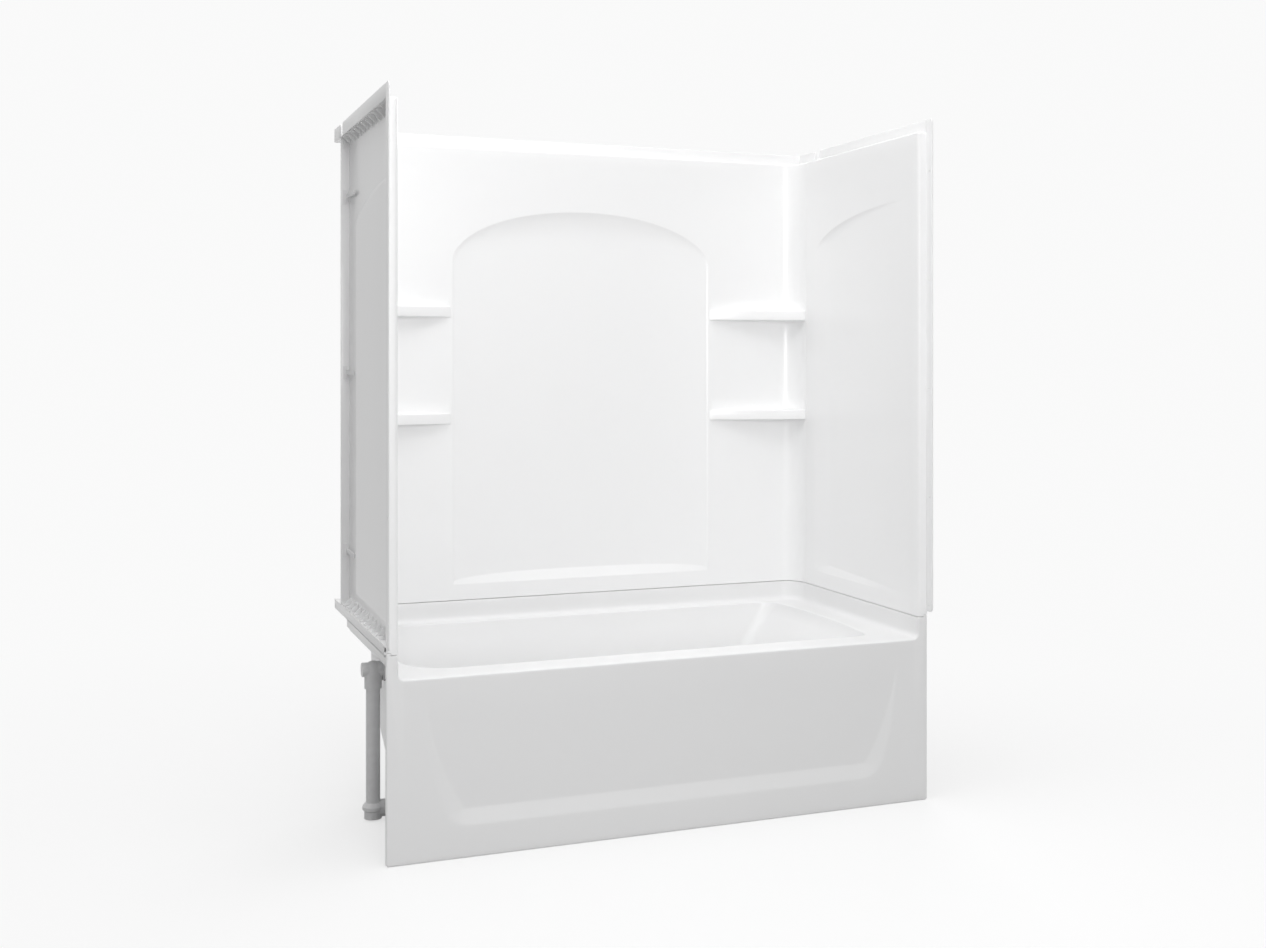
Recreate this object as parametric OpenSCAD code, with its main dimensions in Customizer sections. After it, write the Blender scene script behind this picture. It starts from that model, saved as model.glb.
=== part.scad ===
// Alcove bath and shower in four mouldings, a tub, two end walls and a back wall,
// with the waste and overflow at the drain end.
// X runs along the tub from the drain end, Y from the apron to the back, Z up from the floor.
// The origin is on the floor in the middle of the footprint.

/* [Overall] */
// Length of the tub between the end studs
tub_length = 1530; // [1480:5:1600]
// Depth of the tub from the face of the apron to the back studs
tub_depth = 768; // [745:1:800]
// Height of the top of the nailing flanges
overall_height = 1912; // [1890:1:2000]
// Width of the ledge between the studs and the inner face of the walls
ledge_width = 30; // [28:1:34]
// Radius of the corners between the back and the ends
room_corner = 64; // [50:1:80]

/* [Tub] */
// Thickness of the tub's moulding
tub_sheet = 4; // [3:0.5:5]
// Height of the front rim and the deck
rim_height = 454; // [440:1:470]
// Radius of the rim's front edge
rim_radius = 5; // [4.5:0.5:14]
// Height of the ledge that carries the walls
ledge_height = 515; // [505:1:520]
// Height of the upstand behind the walls
upstand_height = 533; // [528:1:540]
// Distance from the apron's face to the front of the upstand
upstand_setback = 30; // [28:1:40]
// Height of the skirt's lower edge below the ledge
skirt_height = 492; // [480:1:500]
// Distance from the back studs to the rear end of the skirt
skirt_stop = 213; // [150:1:300]
// Height of the ears at the front ends of the ledge
ear_height = 522; // [520:1:528]
// Depth of the ears from front to back
ear_depth = 25; // [20:1:27]
// Width of the ears from the ends of the tub
ear_width = 13; // [8:1:18]
// Depth of the returns along the apron's side edges
apron_edge = 8; // [6:1:20]
// Depth of the return along the apron's foot
apron_foot = 25; // [15:1:40]

/* [Apron panel] */
// Depth of the panel at its lowest line
panel_depth = 8; // [5:1:20]
// Height at which the panel starts to slope back
panel_top = 413; // [380:1:425]
// Height of the panel's deepest line
panel_low = 121; // [105:1:160]
// Height of the panel's lower edge
panel_bottom = 76; // [60:1:90]
// Distance from the end of the tub to the panel's side at its top
panel_side = 98; // [80:1:140]
// How far the panel's sides draw in towards the bottom
panel_draw = 50; // [30:1:70]
// Radius of the panel's lower corners
panel_corner = 45; // [30:1:60]
// How far the panel's sides have drawn in at half its height
panel_mid_draw = 8; // [4:1:20]
// Radius of the bend in the panel's sides at half its height
panel_bend = 360; // [200:10:500]

/* [Basin] */
// Width of the deck in front of the basin
front_deck = 100; // [85:1:120]
// Distance from the back studs to the basin
back_deck = 54; // [52:1:75]
// Distance from the drain end studs to the basin
drain_deck = 80; // [74:1:95]
// Distance from the other end studs to the top of the backrest
backrest_deck = 133; // [110:1:180]
// How far the backrest's end bows out in plan
backrest_bow = 24; // [10:1:30]
// Radius of the bow in plan
backrest_bend = 700; // [300:50:1200]
// Angle of the backrest from upright
backrest_angle = 38; // [25:1:42]
// Radius of the basin's corners at the drain end
drain_corner = 125; // [90:1:150]
// Radius of the basin's corners at the backrest
backrest_corner = 35; // [25:1:60]
// Height of the basin's floor at the drain
floor_height = 70; // [67:0.5:80]
// Rise of the floor towards the backrest
floor_rise = 10; // [4:1:15]
// Height at which the drain end starts to lean in
lean_height = 300; // [250:1:340]
// How far the drain end leans in above the floor
drain_lean = 50; // [20:1:60]
// How far the front and the back lean in between the deck and the floor
side_lean = 62; // [40:1:80]
// Radius where the front, the back and the drain end meet the floor
floor_fillet = 60; // [40:1:80]
// Radius where the backrest meets the floor
backrest_fillet = 140; // [80:1:180]

/* [Support feet] */
// Length of a foot along the tub
foot_length = 90; // [60:1:120]
// Width of a foot across the tub
foot_width = 60; // [40:1:80]
// Number of feet in each row
foot_count = 3; // [2:1:4]
// Distance from the drain end studs to the first foot
foot_start = 400; // [380:1:450]
// Distance between the feet of a row
foot_pitch = 280; // [200:1:300]
// Distance of each row from the basin's middle
foot_row = 160; // [120:1:170]

/* [Walls] */
// Thickness of the walls' mouldings
wall_sheet = 4; // [3:0.5:5]
// Height of the top of the walls below the nailing flanges
wall_top = 1878; // [1850:1:1885]
// Thickness of the nailing flanges
flange_sheet = 4; // [3:0.5:5]
// Reach of the nailing flanges in front of the apron
flange_reach = 30; // [26:1:40]
// Height of the lower end of the front nailing flanges
flange_bottom = 531; // [526:1:560]
// Radius of the corners of the nailing flanges
flange_corner = 12; // [6:1:16]
// Distance from the back studs to the rear end of the end walls' top flanges
top_flange_stop = 138; // [120:1:160]
// Gap between the top flanges of an end wall and the back wall
top_flange_gap = 25; // [6:1:40]
// Radius of the end walls' front edge
front_radius = 9; // [6:1:14]
// Straight length of the back wall's ends in front of its corners
seam_straight = 5; // [3:1:20]
// Gap at the seams between the mouldings
seam_gap = 0.3; // [0.2:0.1:1]
// Width of the flanges that stand out at the seams
seam_flange = 24; // [16:1:25]

/* [Stiffening ribs] */
// Height and depth of a rib
rib_size = 24; // [14:1:24]
// Thickness of a rib
rib_sheet = 3; // [2:0.5:5]
// Distance between the ribs
rib_pitch = 54; // [45:1:80]
// Distance from the apron's face to the first rib
rib_start = 94; // [60:1:120]

/* [Nail holes] */
// Diameter of the nail holes
nail_hole_d = 4.8; // [4:0.1:6]
// Distance between the nail holes
nail_pitch = 304.8; // [290:0.2:310]
// Height of the lowest nail hole
nail_start = 547; // [545:1:600]
// Distance of the nail holes in front of the apron's face
nail_reach = 17; // [12:1:20]

/* [Wall panels] */
// Height of the lower edge of the recessed panels
recess_bottom = 564; // [555:1:620]
// Half the width of the back wall's panel
arch_half = 418; // [380:1:430]
// Height at which the back wall's arch springs
arch_spring = 1531; // [1480:1:1560]
// Height of the top of the arch
arch_top = 1694; // [1640:1:1750]
// Depth of the back wall's panel in the middle
arch_depth = 12; // [8:1:14]
// Distance from the apron's face to the front of the end walls' panels
side_front = 85; // [60:1:120]
// Distance from the back studs to the rear of the end walls' panels
side_rear = 158; // [128:1:188]
// Distance from the back studs to the deepest line of the end walls' panels
side_deepest = 248; // [208:1:318]
// Depth of the end walls' panels
side_depth = 7; // [4:1:10]
// Height at which the end walls' arches start at the rear
side_spring = 1565; // [1500:1:1600]
// Radius of the lower corners of the panels
recess_corner = 40; // [20:1:60]

/* [Shelves] */
// Heights of the tops of the shelves
shelf_tops = [1077, 1397];
// Thickness of a shelf
shelf_thickness = 32; // [24:1:40]
// Distance from the end studs to the point where a shelf leaves the back wall
shelf_length = 342; // [310:1:345]
// Distance from the end studs to the bend in a shelf's front
shelf_bend = 260; // [230:1:280]
// Depth of a shelf at the bend, in front of the back wall
shelf_bend_depth = 27; // [20:1:35]
// Radius of the bend
shelf_bend_radius = 60; // [20:1:80]

/* [Corner clips] */
// Heights of the clips
clip_heights = [690, 1200, 1705];
// Thickness of a clip
clip_sheet = 3; // [2:0.5:4]
// Height of the clip's upright bar
clip_bar_height = 38; // [30:1:60]
// Width of the clip's upright bar
clip_bar_width = 12; // [8:1:14]
// Height of the clip's arm
clip_arm_height = 12; // [8:1:16]
// Length of the clip's arm in front of the seam
clip_arm_length = 124; // [100:1:126]
// Distance between the arm and the margin of the end wall
clip_standoff = 5.4; // [5.2:0.1:6]

/* [Waste and overflow] */
// Distance from the drain end studs to the middle of the overflow tube
tube_setback = 41; // [40:1:44]
// Outer diameter of the tubes
tube_d = 38; // [36:0.5:40]
// Thickness of the tubes
tube_sheet = 2; // [1.5:0.1:2.5]
// Distance from the rim down to the middle of the overflow
overflow_drop = 50; // [46:1:59]
// Distance from the drain end studs to the middle of the drain
drain_setback = 270; // [260:1:300]
// Height of the middle of the waste arm
arm_height = 29; // [28:0.5:30]
// Height of the lower end of the waste outlet
outlet_bottom = 4; // [3:0.5:5]
// Depth of the waste outlet's socket for the trap's tail
outlet_socket = 7; // [5:0.5:8]
// Height of the upper end of the waste outlet
outlet_top = 24; // [22:1:26]
// Outer diameter of the waste outlet
outlet_d = 47; // [44:0.5:50]
// Outer diameter of the collar above the outlet
collar_d = 57; // [54:0.5:60]
// Height of the top of the collar
collar_top = 47; // [45:1:52]
// Depth of the collar's socket for the overflow tube
collar_socket = 9; // [6:1:10]
// Thickness of the wall of the fittings
fitting_wall = 4; // [3:0.5:5]
// Clearance between a tube and its socket
socket_gap = 0.1; // [0.05:0.05:0.2]
// Distance from the middle of the overflow down to the lower end of its elbow
elbow_drop = 51; // [44:1:59]
// Depth of the elbow's socket
elbow_socket = 30; // [15:1:32]
// Diameter of the overflow hole in the tub
overflow_hole_d = 48; // [46:1:52]
// Diameter of the elbow's flange
elbow_flange_d = 62; // [58:1:70]
// Thickness of the elbow's flange
elbow_flange_t = 4; // [3:0.5:5]
// Diameter of the boss on the elbow's outer end
elbow_boss_d = 38; // [34:1:42]
// Distance that the boss stands out of the elbow
elbow_boss_out = 7; // [4:0.5:10]
// Diameter of the overflow gasket
gasket_d = 66; // [60:1:72]
// Thickness of the overflow gasket
gasket_t = 6; // [4:0.5:8]
// Length of the slip nut
nut_length = 22; // [18:1:26]
// Outer diameter of the slip nut
nut_d = 51; // [50:0.5:53]

/* [Overflow plate and lever] */
// Diameter of the overflow plate
plate_d = 74; // [68:1:80]
// Thickness of the overflow plate
plate_t = 2.5; // [2:0.1:3]
// Distance of each plate screw from the middle of the plate
screw_offset = 21; // [20.5:0.1:21.5]
// Diameter of the plate screws
screw_d = 4; // [3.5:0.1:4.5]
// Diameter of the screws' heads
screw_head_d = 9; // [8:0.5:10]
// Thickness of the screws' heads
screw_head_t = 2.5; // [2:0.1:3]
// Distance from the middle of the overflow tube to the lever's pivot
lever_reach = 21; // [20:0.5:22]
// Half of the angle that the lever swings through
lever_half_swing = 18; // [12:1:20]
// Thickness of the lever
lever_t = 4; // [3:0.5:4.5]
// Height of the lever's bar
lever_bar = 5; // [4.5:0.1:5.5]
// Length of the lever's bar in front of the pivot
lever_front = 36; // [34:1:40]
// Length of the lever's finger tab
lever_tab = 24; // [18:1:28]
// Width of the lever's finger tab
lever_tab_width = 14; // [10:1:16]
// Diameter of the pins in the linkage
pin_d = 3; // [2.5:0.1:3.2]
// Running clearance round the pins
pin_gap = 0.06; // [0.03:0.01:0.1]

/* [Linkage and stopper] */
// Diameter of the linkage rod
rod_d = 4; // [3:0.5:5]
// Length of the rod inside the spring
rod_tail = 30; // [10:1:30]
// Depth of the fork at the top of the rod, below its pin
fork_depth = 12; // [8:1:14]
// Thickness of the fork
fork_sheet = 2; // [1.5:0.1:2.5]
// Outer diameter of the linkage spring
spring_d = 14; // [12:0.5:15]
// Thickness of the spring's wire
spring_wire = 1.6; // [1.2:0.1:1.8]
// Length of the spring
spring_length = 40; // [30:1:50]
// Turns of the spring
spring_turns = 8; // [5:1:10]
// Distance from the middle of the overflow tube to the rocker's pivot
rocker_reach = 109; // [95:1:115]
// Diameter of the rocker's bar
rocker_d = 4; // [3.5:0.1:5]
// Diameter of the disc that carries the spring
striker_d = 16; // [14:0.5:18]
// Thickness of the disc that carries the spring
striker_t = 3; // [2:0.5:4]
// Diameter of the ball that lifts the stopper
lifter_d = 8; // [6:0.5:9]
// Clearance where one moving piece pushes the next
push_gap = 0.3; // [0.2:0.05:0.5]
// Diameter of the drain hole in the tub
drain_hole_d = 41; // [40:0.5:44]
// Diameter of the drain flange
drain_flange_d = 72; // [66:1:76]
// Thickness of the drain flange
drain_flange_t = 3; // [2:0.5:4]
// Diameter of the drain flange's threaded body
drain_body_d = 38; // [36:0.5:39]
// Thickness of the drain body's wall
drain_body_wall = 2.5; // [2:0.5:3]
// Thickness of the gasket under the tub's floor
shoe_gasket_t = 3; // [2:0.5:4]
// Diameter of the shoe's flange and its gasket
shoe_flange_d = 76; // [70:1:80]
// Thickness of the shoe's flange
shoe_flange_t = 4.5; // [3:0.5:6]
// Distance from the top of the shoe down to the crossbar in the drain
crossbar_drop = 12; // [10:1:14]
// Height of the crossbar
crossbar_t = 6; // [4:0.5:8]
// Thickness of the crossbar's arms
crossbar_width = 3; // [2:0.5:4]
// Diameter of the boss that guides the stem
stem_guide_d = 12; // [10:0.5:14]
// Diameter of the stopper's cap
stopper_d = 54; // [48:1:60]
// Thickness of the stopper's cap at its edge
stopper_t = 2; // [1.5:0.5:3]
// Rise of the stopper's domed top
stopper_dome = 3; // [2:0.5:4]
// Thickness of the seal under the cap
seal_t = 2.5; // [2:0.1:3]
// Diameter of the stopper's stem
stem_d = 6; // [5:0.5:7]
// Diameter of the boss between the stem and the cap
stem_boss_d = 12; // [9:0.5:14]

/* [Hidden] */
$fn = 64;

// Extra length of a cut past the face that it opens
cut = 1;
// Steps in a rounded corner of a path
corner_steps = 6;
// Steps in an arch
arch_steps = 24;

// The footprint
half_length = tub_length / 2;
front_y = -(tub_depth - flange_reach) / 2;
back_y = front_y + tub_depth;
room_half = half_length - ledge_width;
room_back = back_y - ledge_width;
seam_y = room_back - room_corner - seam_straight;
wall_bearing = upstand_height + wall_sheet;

// The waste and overflow
waste_y = front_y + tub_depth / 2;
overflow_height = rim_height - overflow_drop;
elbow_bottom = overflow_height - elbow_drop;
tube_x = -half_length + tube_setback;
drain_x = -half_length + drain_setback;
tub_end_x = -half_length + drain_deck;
elbow_face_x = tub_end_x - tub_sheet - gasket_t;
pivot_x = tube_x + lever_reach;
rocker_x = tube_x + rocker_reach;
rocker_front = drain_x - rocker_x;
tube_r = tube_d / 2;
bore_r = tube_r - tube_sheet;
socket_r = tube_r + socket_gap;
fitting_r = socket_r + fitting_wall;
shoe_top = floor_height - tub_sheet - shoe_gasket_t;

// The lever moves the rod by this much to each side of its middle place
half_travel = lever_reach * tan(lever_half_swing);
// The rocker then turns by this much to each side, and lifts the stopper
rocker_half_swing = asin(half_travel / rocker_reach);
half_lift = rocker_front * sin(rocker_half_swing);

// The unit vector along a vector
function unit(v) = v / norm(v);

// The vector turned a right angle clockwise
function turned(v) = [v.y, -v.x];

// An anticlockwise closed path with every edge moved outwards
function grown(path, by) =
    let (n = len(path))
    [for (i = [0 : n - 1])
        let (before = unit(turned(path[i] - path[(i + n - 1) % n])))
        let (after = unit(turned(path[(i + 1) % n] - path[i])))
        path[i] + by * (before + after) / (1 + before * after)];

// The points of one corner of a path, rounded by the radius in b.z
function corner(a, b, c) =
    let (here = [b.x, b.y])
    let (to_a = unit([a.x, a.y] - here))
    let (to_c = unit([c.x, c.y] - here))
    let (half = acos(to_a * to_c) / 2)
    let (centre = here + unit(to_a + to_c) * b.z / sin(half))
    let (first = here + to_a * b.z / tan(half) - centre)
    let (last = here + to_c * b.z / tan(half) - centre)
    let (start = atan2(first.y, first.x))
    let (turn = atan2(last.y, last.x) - start)
    let (sweep = turn > 180 ? turn - 360 : turn < -180 ? turn + 360 : turn)
    b.z == 0 ? [here] :
    [for (k = [0 : corner_steps])
        let (angle = start + sweep * k / corner_steps)
        centre + b.z * [cos(angle), sin(angle)]];

// A closed path from corners given as [x, y, radius]
function rounded(corners) =
    let (n = len(corners))
    [for (i = [0 : n - 1])
        each corner(corners[(i + n - 1) % n], corners[i], corners[(i + 1) % n])];

// The inner plan of the walls and the curb, open well past the front
room_path = rounded([
    [-room_half, front_y - ledge_width, 0],
    [room_half, front_y - ledge_width, 0],
    [room_half, room_back, room_corner],
    [-room_half, room_back, room_corner]]);

// A view from above, given a height
module along_height(from, to)
    translate([0, 0, from])
        linear_extrude(to - from)
            children();

// A view from the end, drawn as depth and height, given a length
module along_length(from, to)
    translate([from, 0, 0])
        rotate([90, 0, 90])
            linear_extrude(to - from)
                children();

// A view from the front, drawn as length and height, given a depth
module along_depth(from, to)
    translate([0, to, 0])
        rotate([90, 0, 0])
            linear_extrude(to - from)
                children();

// A box between two opposite corners
module block(low, high)
    translate(low)
        cube(high - low);

// An upright rod or hole
module upright(x, y, from, to, r)
    translate([x, y, from])
        cylinder(h = to - from, r = r);

// A rod or hole that lies along the tub
module lengthwise(y, z, from, to, r)
    translate([from, y, z])
        rotate([0, 90, 0])
            cylinder(h = to - from, r = r);

// A rod or hole that lies across the tub
module crosswise(x, z, from, to, r)
    translate([x, to, z])
        rotate([90, 0, 0])
            cylinder(h = to - from, r = r);

// The same thing at the drain end and, mirrored, at the other end
module both_ends() {
    children();
    mirror([1, 0, 0])
        children();
}

// The footprint between the studs, less an inset from them
module footprint(inset)
    translate([-half_length + inset, front_y])
        square([tub_length - 2 * inset, tub_depth - inset]);

// The strip of the footprint between two depths
module strip(from, to)
    translate([-half_length, from])
        square([tub_length, to - from]);

// The plan of a sheet that follows the walls
module wall_ring(sheet)
    intersection() {
        difference() {
            polygon(grown(room_path, sheet));
            polygon(room_path);
        }
        footprint(0);
    }

// The plan of a sheet that covers the ledge
module ledge_ring()
    difference() {
        footprint(0);
        polygon(room_path);
    }

// The plan of a sheet that stands against the studs
module stud_ring(sheet)
    difference() {
        footprint(0);
        translate([-half_length + sheet, front_y - cut])
            square([tub_length - 2 * sheet, tub_depth - sheet + cut]);
    }

// The tub
basin_front = front_y + front_deck;
basin_back = back_y - back_deck;
basin_middle = (basin_front + basin_back) / 2;
backrest_x = half_length - backrest_deck;
basin_open = rim_height + room_corner;
backrest_slope = tan(backrest_angle);
floor_end = floor_height + floor_rise;
backrest_top_x = backrest_x + backrest_bow;
side_slope = side_lean / (rim_height - floor_height);
side_open = side_slope * (basin_open - rim_height);

// The basin's opening from above
basin_plan = rounded([
    [tub_end_x, basin_front, drain_corner],
    [backrest_x, basin_front, backrest_corner],
    [backrest_top_x, basin_middle, backrest_bend],
    [backrest_x, basin_back, backrest_corner],
    [tub_end_x, basin_back, drain_corner]]);

// The basin from the front, with its level floor round the drain
basin_side = rounded([
    [tub_end_x, basin_open, 0],
    [tub_end_x, lean_height, floor_fillet],
    [tub_end_x + drain_lean, floor_height, floor_fillet],
    [drain_x + shoe_flange_d, floor_height, 0],
    [backrest_top_x - backrest_slope * (rim_height - floor_end), floor_end, backrest_fillet],
    [backrest_top_x + backrest_slope * (basin_open - rim_height), basin_open, 0]]);

// The basin from the end
basin_cross = rounded([
    [basin_front - side_open, basin_open, 0],
    [basin_front + side_lean, floor_height, floor_fillet],
    [basin_back - side_lean, floor_height, floor_fillet],
    [basin_back + side_open, basin_open, 0]]);

// The space inside the basin, or its outside when grown by the sheet
module basin(grow, top)
    intersection() {
        along_height(0, top)
            polygon(grown(basin_plan, grow));
        along_depth(front_y, back_y)
            polygon(grown(basin_side, grow));
        along_length(-half_length, half_length)
            polygon(grown(basin_cross, grow));
    }

// The apron and the deck from the end, as the outside of one bent sheet
deck_path = rounded([
    [front_y, -tub_sheet - cut, 0],
    [back_y + tub_sheet + cut, -tub_sheet - cut, 0],
    [back_y + tub_sheet + cut, rim_height, 0],
    [front_y, rim_height, rim_radius]]);

module apron_and_deck()
    intersection() {
        along_length(-half_length, half_length)
            difference() {
                polygon(deck_path);
                polygon(grown(deck_path, -tub_sheet));
            }
        along_height(0, rim_height)
            polygon(grown(room_path, tub_sheet));
    }

// The outline of the apron's panel from the front
panel_outline = let (
        top_x = half_length - panel_side,
        low_x = top_x - panel_draw,
        bend_x = top_x - panel_mid_draw,
        bend_z = (panel_top + panel_low) / 2,
        over = rim_height - rim_radius)
    rounded([
        [-low_x, panel_bottom, panel_corner],
        [low_x, panel_bottom, panel_corner],
        [bend_x, bend_z, panel_bend],
        [top_x, over, 0],
        [-top_x, over, 0],
        [-bend_x, bend_z, panel_bend]]);

// The depth of the apron's panel from the end
panel_profile = [
    [front_y - cut, panel_bottom],
    [front_y, panel_bottom],
    [front_y + panel_depth, panel_low],
    [front_y, panel_top],
    [front_y - cut, panel_top]];

module apron_panel(grow, from)
    intersection() {
        along_depth(from, basin_front)
            polygon(grown(panel_outline, grow));
        along_length(-half_length, half_length)
            polygon(grown(panel_profile, grow));
    }

// The curb that carries the walls, with its upstand and its skirt
module curb() {
    along_height(rim_height - tub_sheet, ledge_height)
        wall_ring(tub_sheet);
    along_height(ledge_height - tub_sheet, ledge_height)
        ledge_ring();
    along_height(ledge_height - tub_sheet, upstand_height)
        intersection() {
            stud_ring(tub_sheet);
            strip(front_y + upstand_setback, back_y);
        }
    along_height(skirt_height, ledge_height)
        intersection() {
            stud_ring(tub_sheet);
            strip(front_y, back_y - skirt_stop);
        }
}

// One front end of the tub, where the apron's face runs up to the ledge and its ear
module tub_corner() {
    block([-half_length, front_y, 0], [-room_half, front_y + tub_sheet, ledge_height]);
    block([-half_length, front_y, 0],
        [-half_length + tub_sheet, front_y + apron_edge, ledge_height]);
    block([-half_length, front_y, ledge_height - tub_sheet],
        [-half_length + ear_width, front_y + ear_depth, ear_height]);
}

module tub() {
    color("white")
    difference() {
        union() {
            apron_and_deck();
            curb();
            both_ends()
                tub_corner();
            block([-half_length, front_y, 0], [half_length, front_y + apron_foot, tub_sheet]);
            apron_panel(tub_sheet, front_y);
            basin(tub_sheet, rim_height);
        }
        basin(0, rim_height + cut);
        apron_panel(0, front_y - cut);
        upright(drain_x, waste_y, 0, floor_height + cut, drain_hole_d / 2);
        lengthwise(waste_y, overflow_height, -half_length, tub_end_x + cut, overflow_hole_d / 2);
    }
}

module support_feet() {
    color("lightgrey")
    difference() {
        for (column = [0 : foot_count - 1])
            for (side = [-1, 1])
                translate([-half_length + foot_start + column * foot_pitch,
                        basin_middle + side * foot_row - foot_width / 2, 0])
                    cube([foot_length, foot_width, floor_end]);
        basin(tub_sheet, rim_height);
    }
}

// The walls

// The panel of the back wall from the front, the arch and then its two lower corners
arch_path = concat(
    [for (k = [0 : arch_steps])
        let (angle = 180 * k / arch_steps)
        [arch_half * cos(angle), arch_spring + (arch_top - arch_spring) * sin(angle)]],
    corner([-arch_half, arch_spring],
        [-arch_half, recess_bottom, recess_corner],
        [arch_half, recess_bottom]),
    corner([-arch_half, recess_bottom],
        [arch_half, recess_bottom, recess_corner],
        [arch_half, arch_spring]));

// The plan of that panel, whose back is the arc through its two sides and its middle
arch_back_radius = (arch_half * arch_half + arch_depth * arch_depth) / (2 * arch_depth);
arch_back_angle = asin(arch_half / arch_back_radius);
arch_plan = concat(
    [[arch_half, room_back - cut], [arch_half, room_back]],
    [for (k = [1 : arch_steps - 1])
        let (angle = arch_back_angle * (1 - 2 * k / arch_steps))
        [arch_back_radius * sin(angle),
            room_back + arch_depth - arch_back_radius * (1 - cos(angle))]],
    [[-arch_half, room_back], [-arch_half, room_back - cut]]);

module arch_panel(grow, from)
    intersection() {
        along_depth(from, back_y)
            polygon(grown(arch_path, grow));
        along_height(ledge_height, wall_top)
            polygon(grown(arch_plan, grow));
    }

// The plan of a shelf at the drain end, from the back of the wall to the shelf's front
shelf_path = rounded([
    [-half_length + shelf_length, room_back, 0],
    [-half_length + shelf_length, back_y, 0],
    [-half_length, back_y, 0],
    [-half_length, seam_y, 0],
    [-room_half, seam_y, 0],
    [-half_length + shelf_bend, room_back - shelf_bend_depth, shelf_bend_radius]]);

// The outside of every shelf, or the hollow behind it when grown by less than nothing
module shelves(grow)
    both_ends()
        for (top = shelf_tops)
            along_height(top - shelf_thickness - grow, top + grow)
                polygon(grown(shelf_path, grow));

module back_wall() {
    color("white")
    difference() {
        union() {
            along_height(ledge_height, wall_top)
                intersection() {
                    wall_ring(wall_sheet);
                    strip(seam_y, back_y);
                }
            for (top = [wall_bearing, wall_top])
                along_height(top - wall_sheet, top)
                    intersection() {
                        ledge_ring();
                        strip(seam_y, back_y);
                    }
            along_height(wall_top - wall_sheet, overall_height)
                intersection() {
                    stud_ring(flange_sheet);
                    strip(back_y - top_flange_stop + top_flange_gap, back_y);
                }
            both_ends()
                block([-room_half - wall_sheet - seam_flange, seam_y, upstand_height],
                    [-room_half, seam_y + wall_sheet, wall_top]);
            arch_panel(wall_sheet, room_back);
            intersection() {
                shelves(0);
                along_height(ledge_height, wall_top)
                    polygon(grown(room_path, wall_sheet));
            }
        }
        arch_panel(0, room_back - cut);
        shelves(-wall_sheet);
    }
}

// The plan of an end wall, with its front edge rounded back to the studs
end_plan = rounded([
    [-half_length - ledge_width, front_y, 0],
    [-room_half, front_y, front_radius],
    [-room_half, back_y, 0],
    [-half_length - ledge_width, back_y, 0]]);

module end_footprint()
    intersection() {
        polygon(end_plan);
        footprint(0);
        strip(front_y, seam_y - seam_gap);
    }

// The outline of the nailing flange along the front and the top of an end wall
flange_outline = let (inner = front_y + flange_sheet, low = wall_top - wall_sheet)
    rounded([
        [front_y - flange_reach, flange_bottom, flange_corner],
        [inner, flange_bottom, 0],
        [inner, low, 0],
        [back_y - top_flange_stop, low, 0],
        [back_y - top_flange_stop, overall_height, flange_corner],
        [front_y - flange_reach, overall_height, flange_corner]]);

// The outline of an end wall's panel, a half arch that rises towards the front
side_outline = let (
        front = front_y + side_front,
        rear = back_y - side_rear,
        rise = arch_top - side_spring)
    concat(
        rounded([
            [front, side_spring, 0],
            [front, recess_bottom, 0],
            [rear, recess_bottom, recess_corner],
            [rear, side_spring, 0]]),
        [for (k = [1 : arch_steps])
            let (angle = 90 * k / arch_steps)
            [front + (rear - front) * cos(angle), side_spring + rise * sin(angle)]]);

// The plan of that panel, which deepens from the front to a line near its rear
side_plan = [
    [-room_half + cut, front_y + side_front],
    [-room_half + cut, back_y - side_rear],
    [-room_half, back_y - side_rear],
    [-room_half - side_depth, back_y - side_deepest],
    [-room_half, front_y + side_front]];

module side_panel(grow, to)
    intersection() {
        along_length(-half_length, to)
            polygon(grown(side_outline, grow));
        along_height(ledge_height, wall_top)
            polygon(grown(side_plan, grow));
    }

// The ribs between the back of an end wall and a ledge at a height, on one side of it
module ribs(height, side)
    for (y = [front_y + rib_start : rib_pitch : seam_y - rib_sheet - wall_sheet])
        along_depth(y, y + rib_sheet)
            polygon([
                [-room_half - wall_sheet, height],
                [-room_half - wall_sheet, height + side * rib_size],
                [-room_half - wall_sheet - rib_size, height]]);

module end_wall() {
    color("white")
    difference() {
        union() {
            along_height(ledge_height, wall_top)
                difference() {
                    end_footprint();
                    polygon(grown(end_plan, -wall_sheet));
                }
            along_height(wall_top - wall_sheet, wall_top)
                intersection() {
                    end_footprint();
                    strip(front_y, back_y - top_flange_stop);
                }
            along_height(upstand_height, wall_bearing)
                end_footprint();
            along_length(-half_length, -half_length + flange_sheet)
                polygon(flange_outline);
            ribs(wall_top - wall_sheet, -1);
            ribs(wall_bearing, 1);
            side_panel(wall_sheet, -room_half);
        }
        side_panel(0, -room_half + cut);
        block([-half_length - cut, front_y - cut, ledge_height - cut],
            [-half_length + ear_width + seam_gap, front_y + ear_depth + seam_gap, ear_height]);
        for (height = [nail_start : nail_pitch : overall_height - flange_corner])
            lengthwise(front_y - nail_reach, height,
                -half_length - cut, -half_length + flange_sheet + cut, nail_hole_d / 2);
    }
}

module left_end_wall()
    end_wall();

module right_end_wall()
    mirror([1, 0, 0])
        end_wall();

// The clips of one corner, each a bar on the seam's flange with an arm over the end wall
module corner_clips() {
    outer_x = -room_half - wall_sheet;
    arm_x = outer_x - clip_standoff;
    bar_x = outer_x - seam_flange / 2;
    color("silver")
    for (height = clip_heights) {
        block([bar_x - clip_bar_width / 2, seam_y - clip_sheet, height - clip_bar_height / 2],
            [bar_x + clip_bar_width / 2, seam_y, height + clip_bar_height / 2]);
        block([bar_x, seam_y - clip_sheet, height - clip_arm_height / 2],
            [arm_x, seam_y, height + clip_arm_height / 2]);
        block([arm_x - clip_sheet, seam_y - clip_arm_length, height - clip_arm_height / 2],
            [arm_x, seam_y, height + clip_arm_height / 2]);
    }
}

module left_corner_clips()
    corner_clips();

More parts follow.
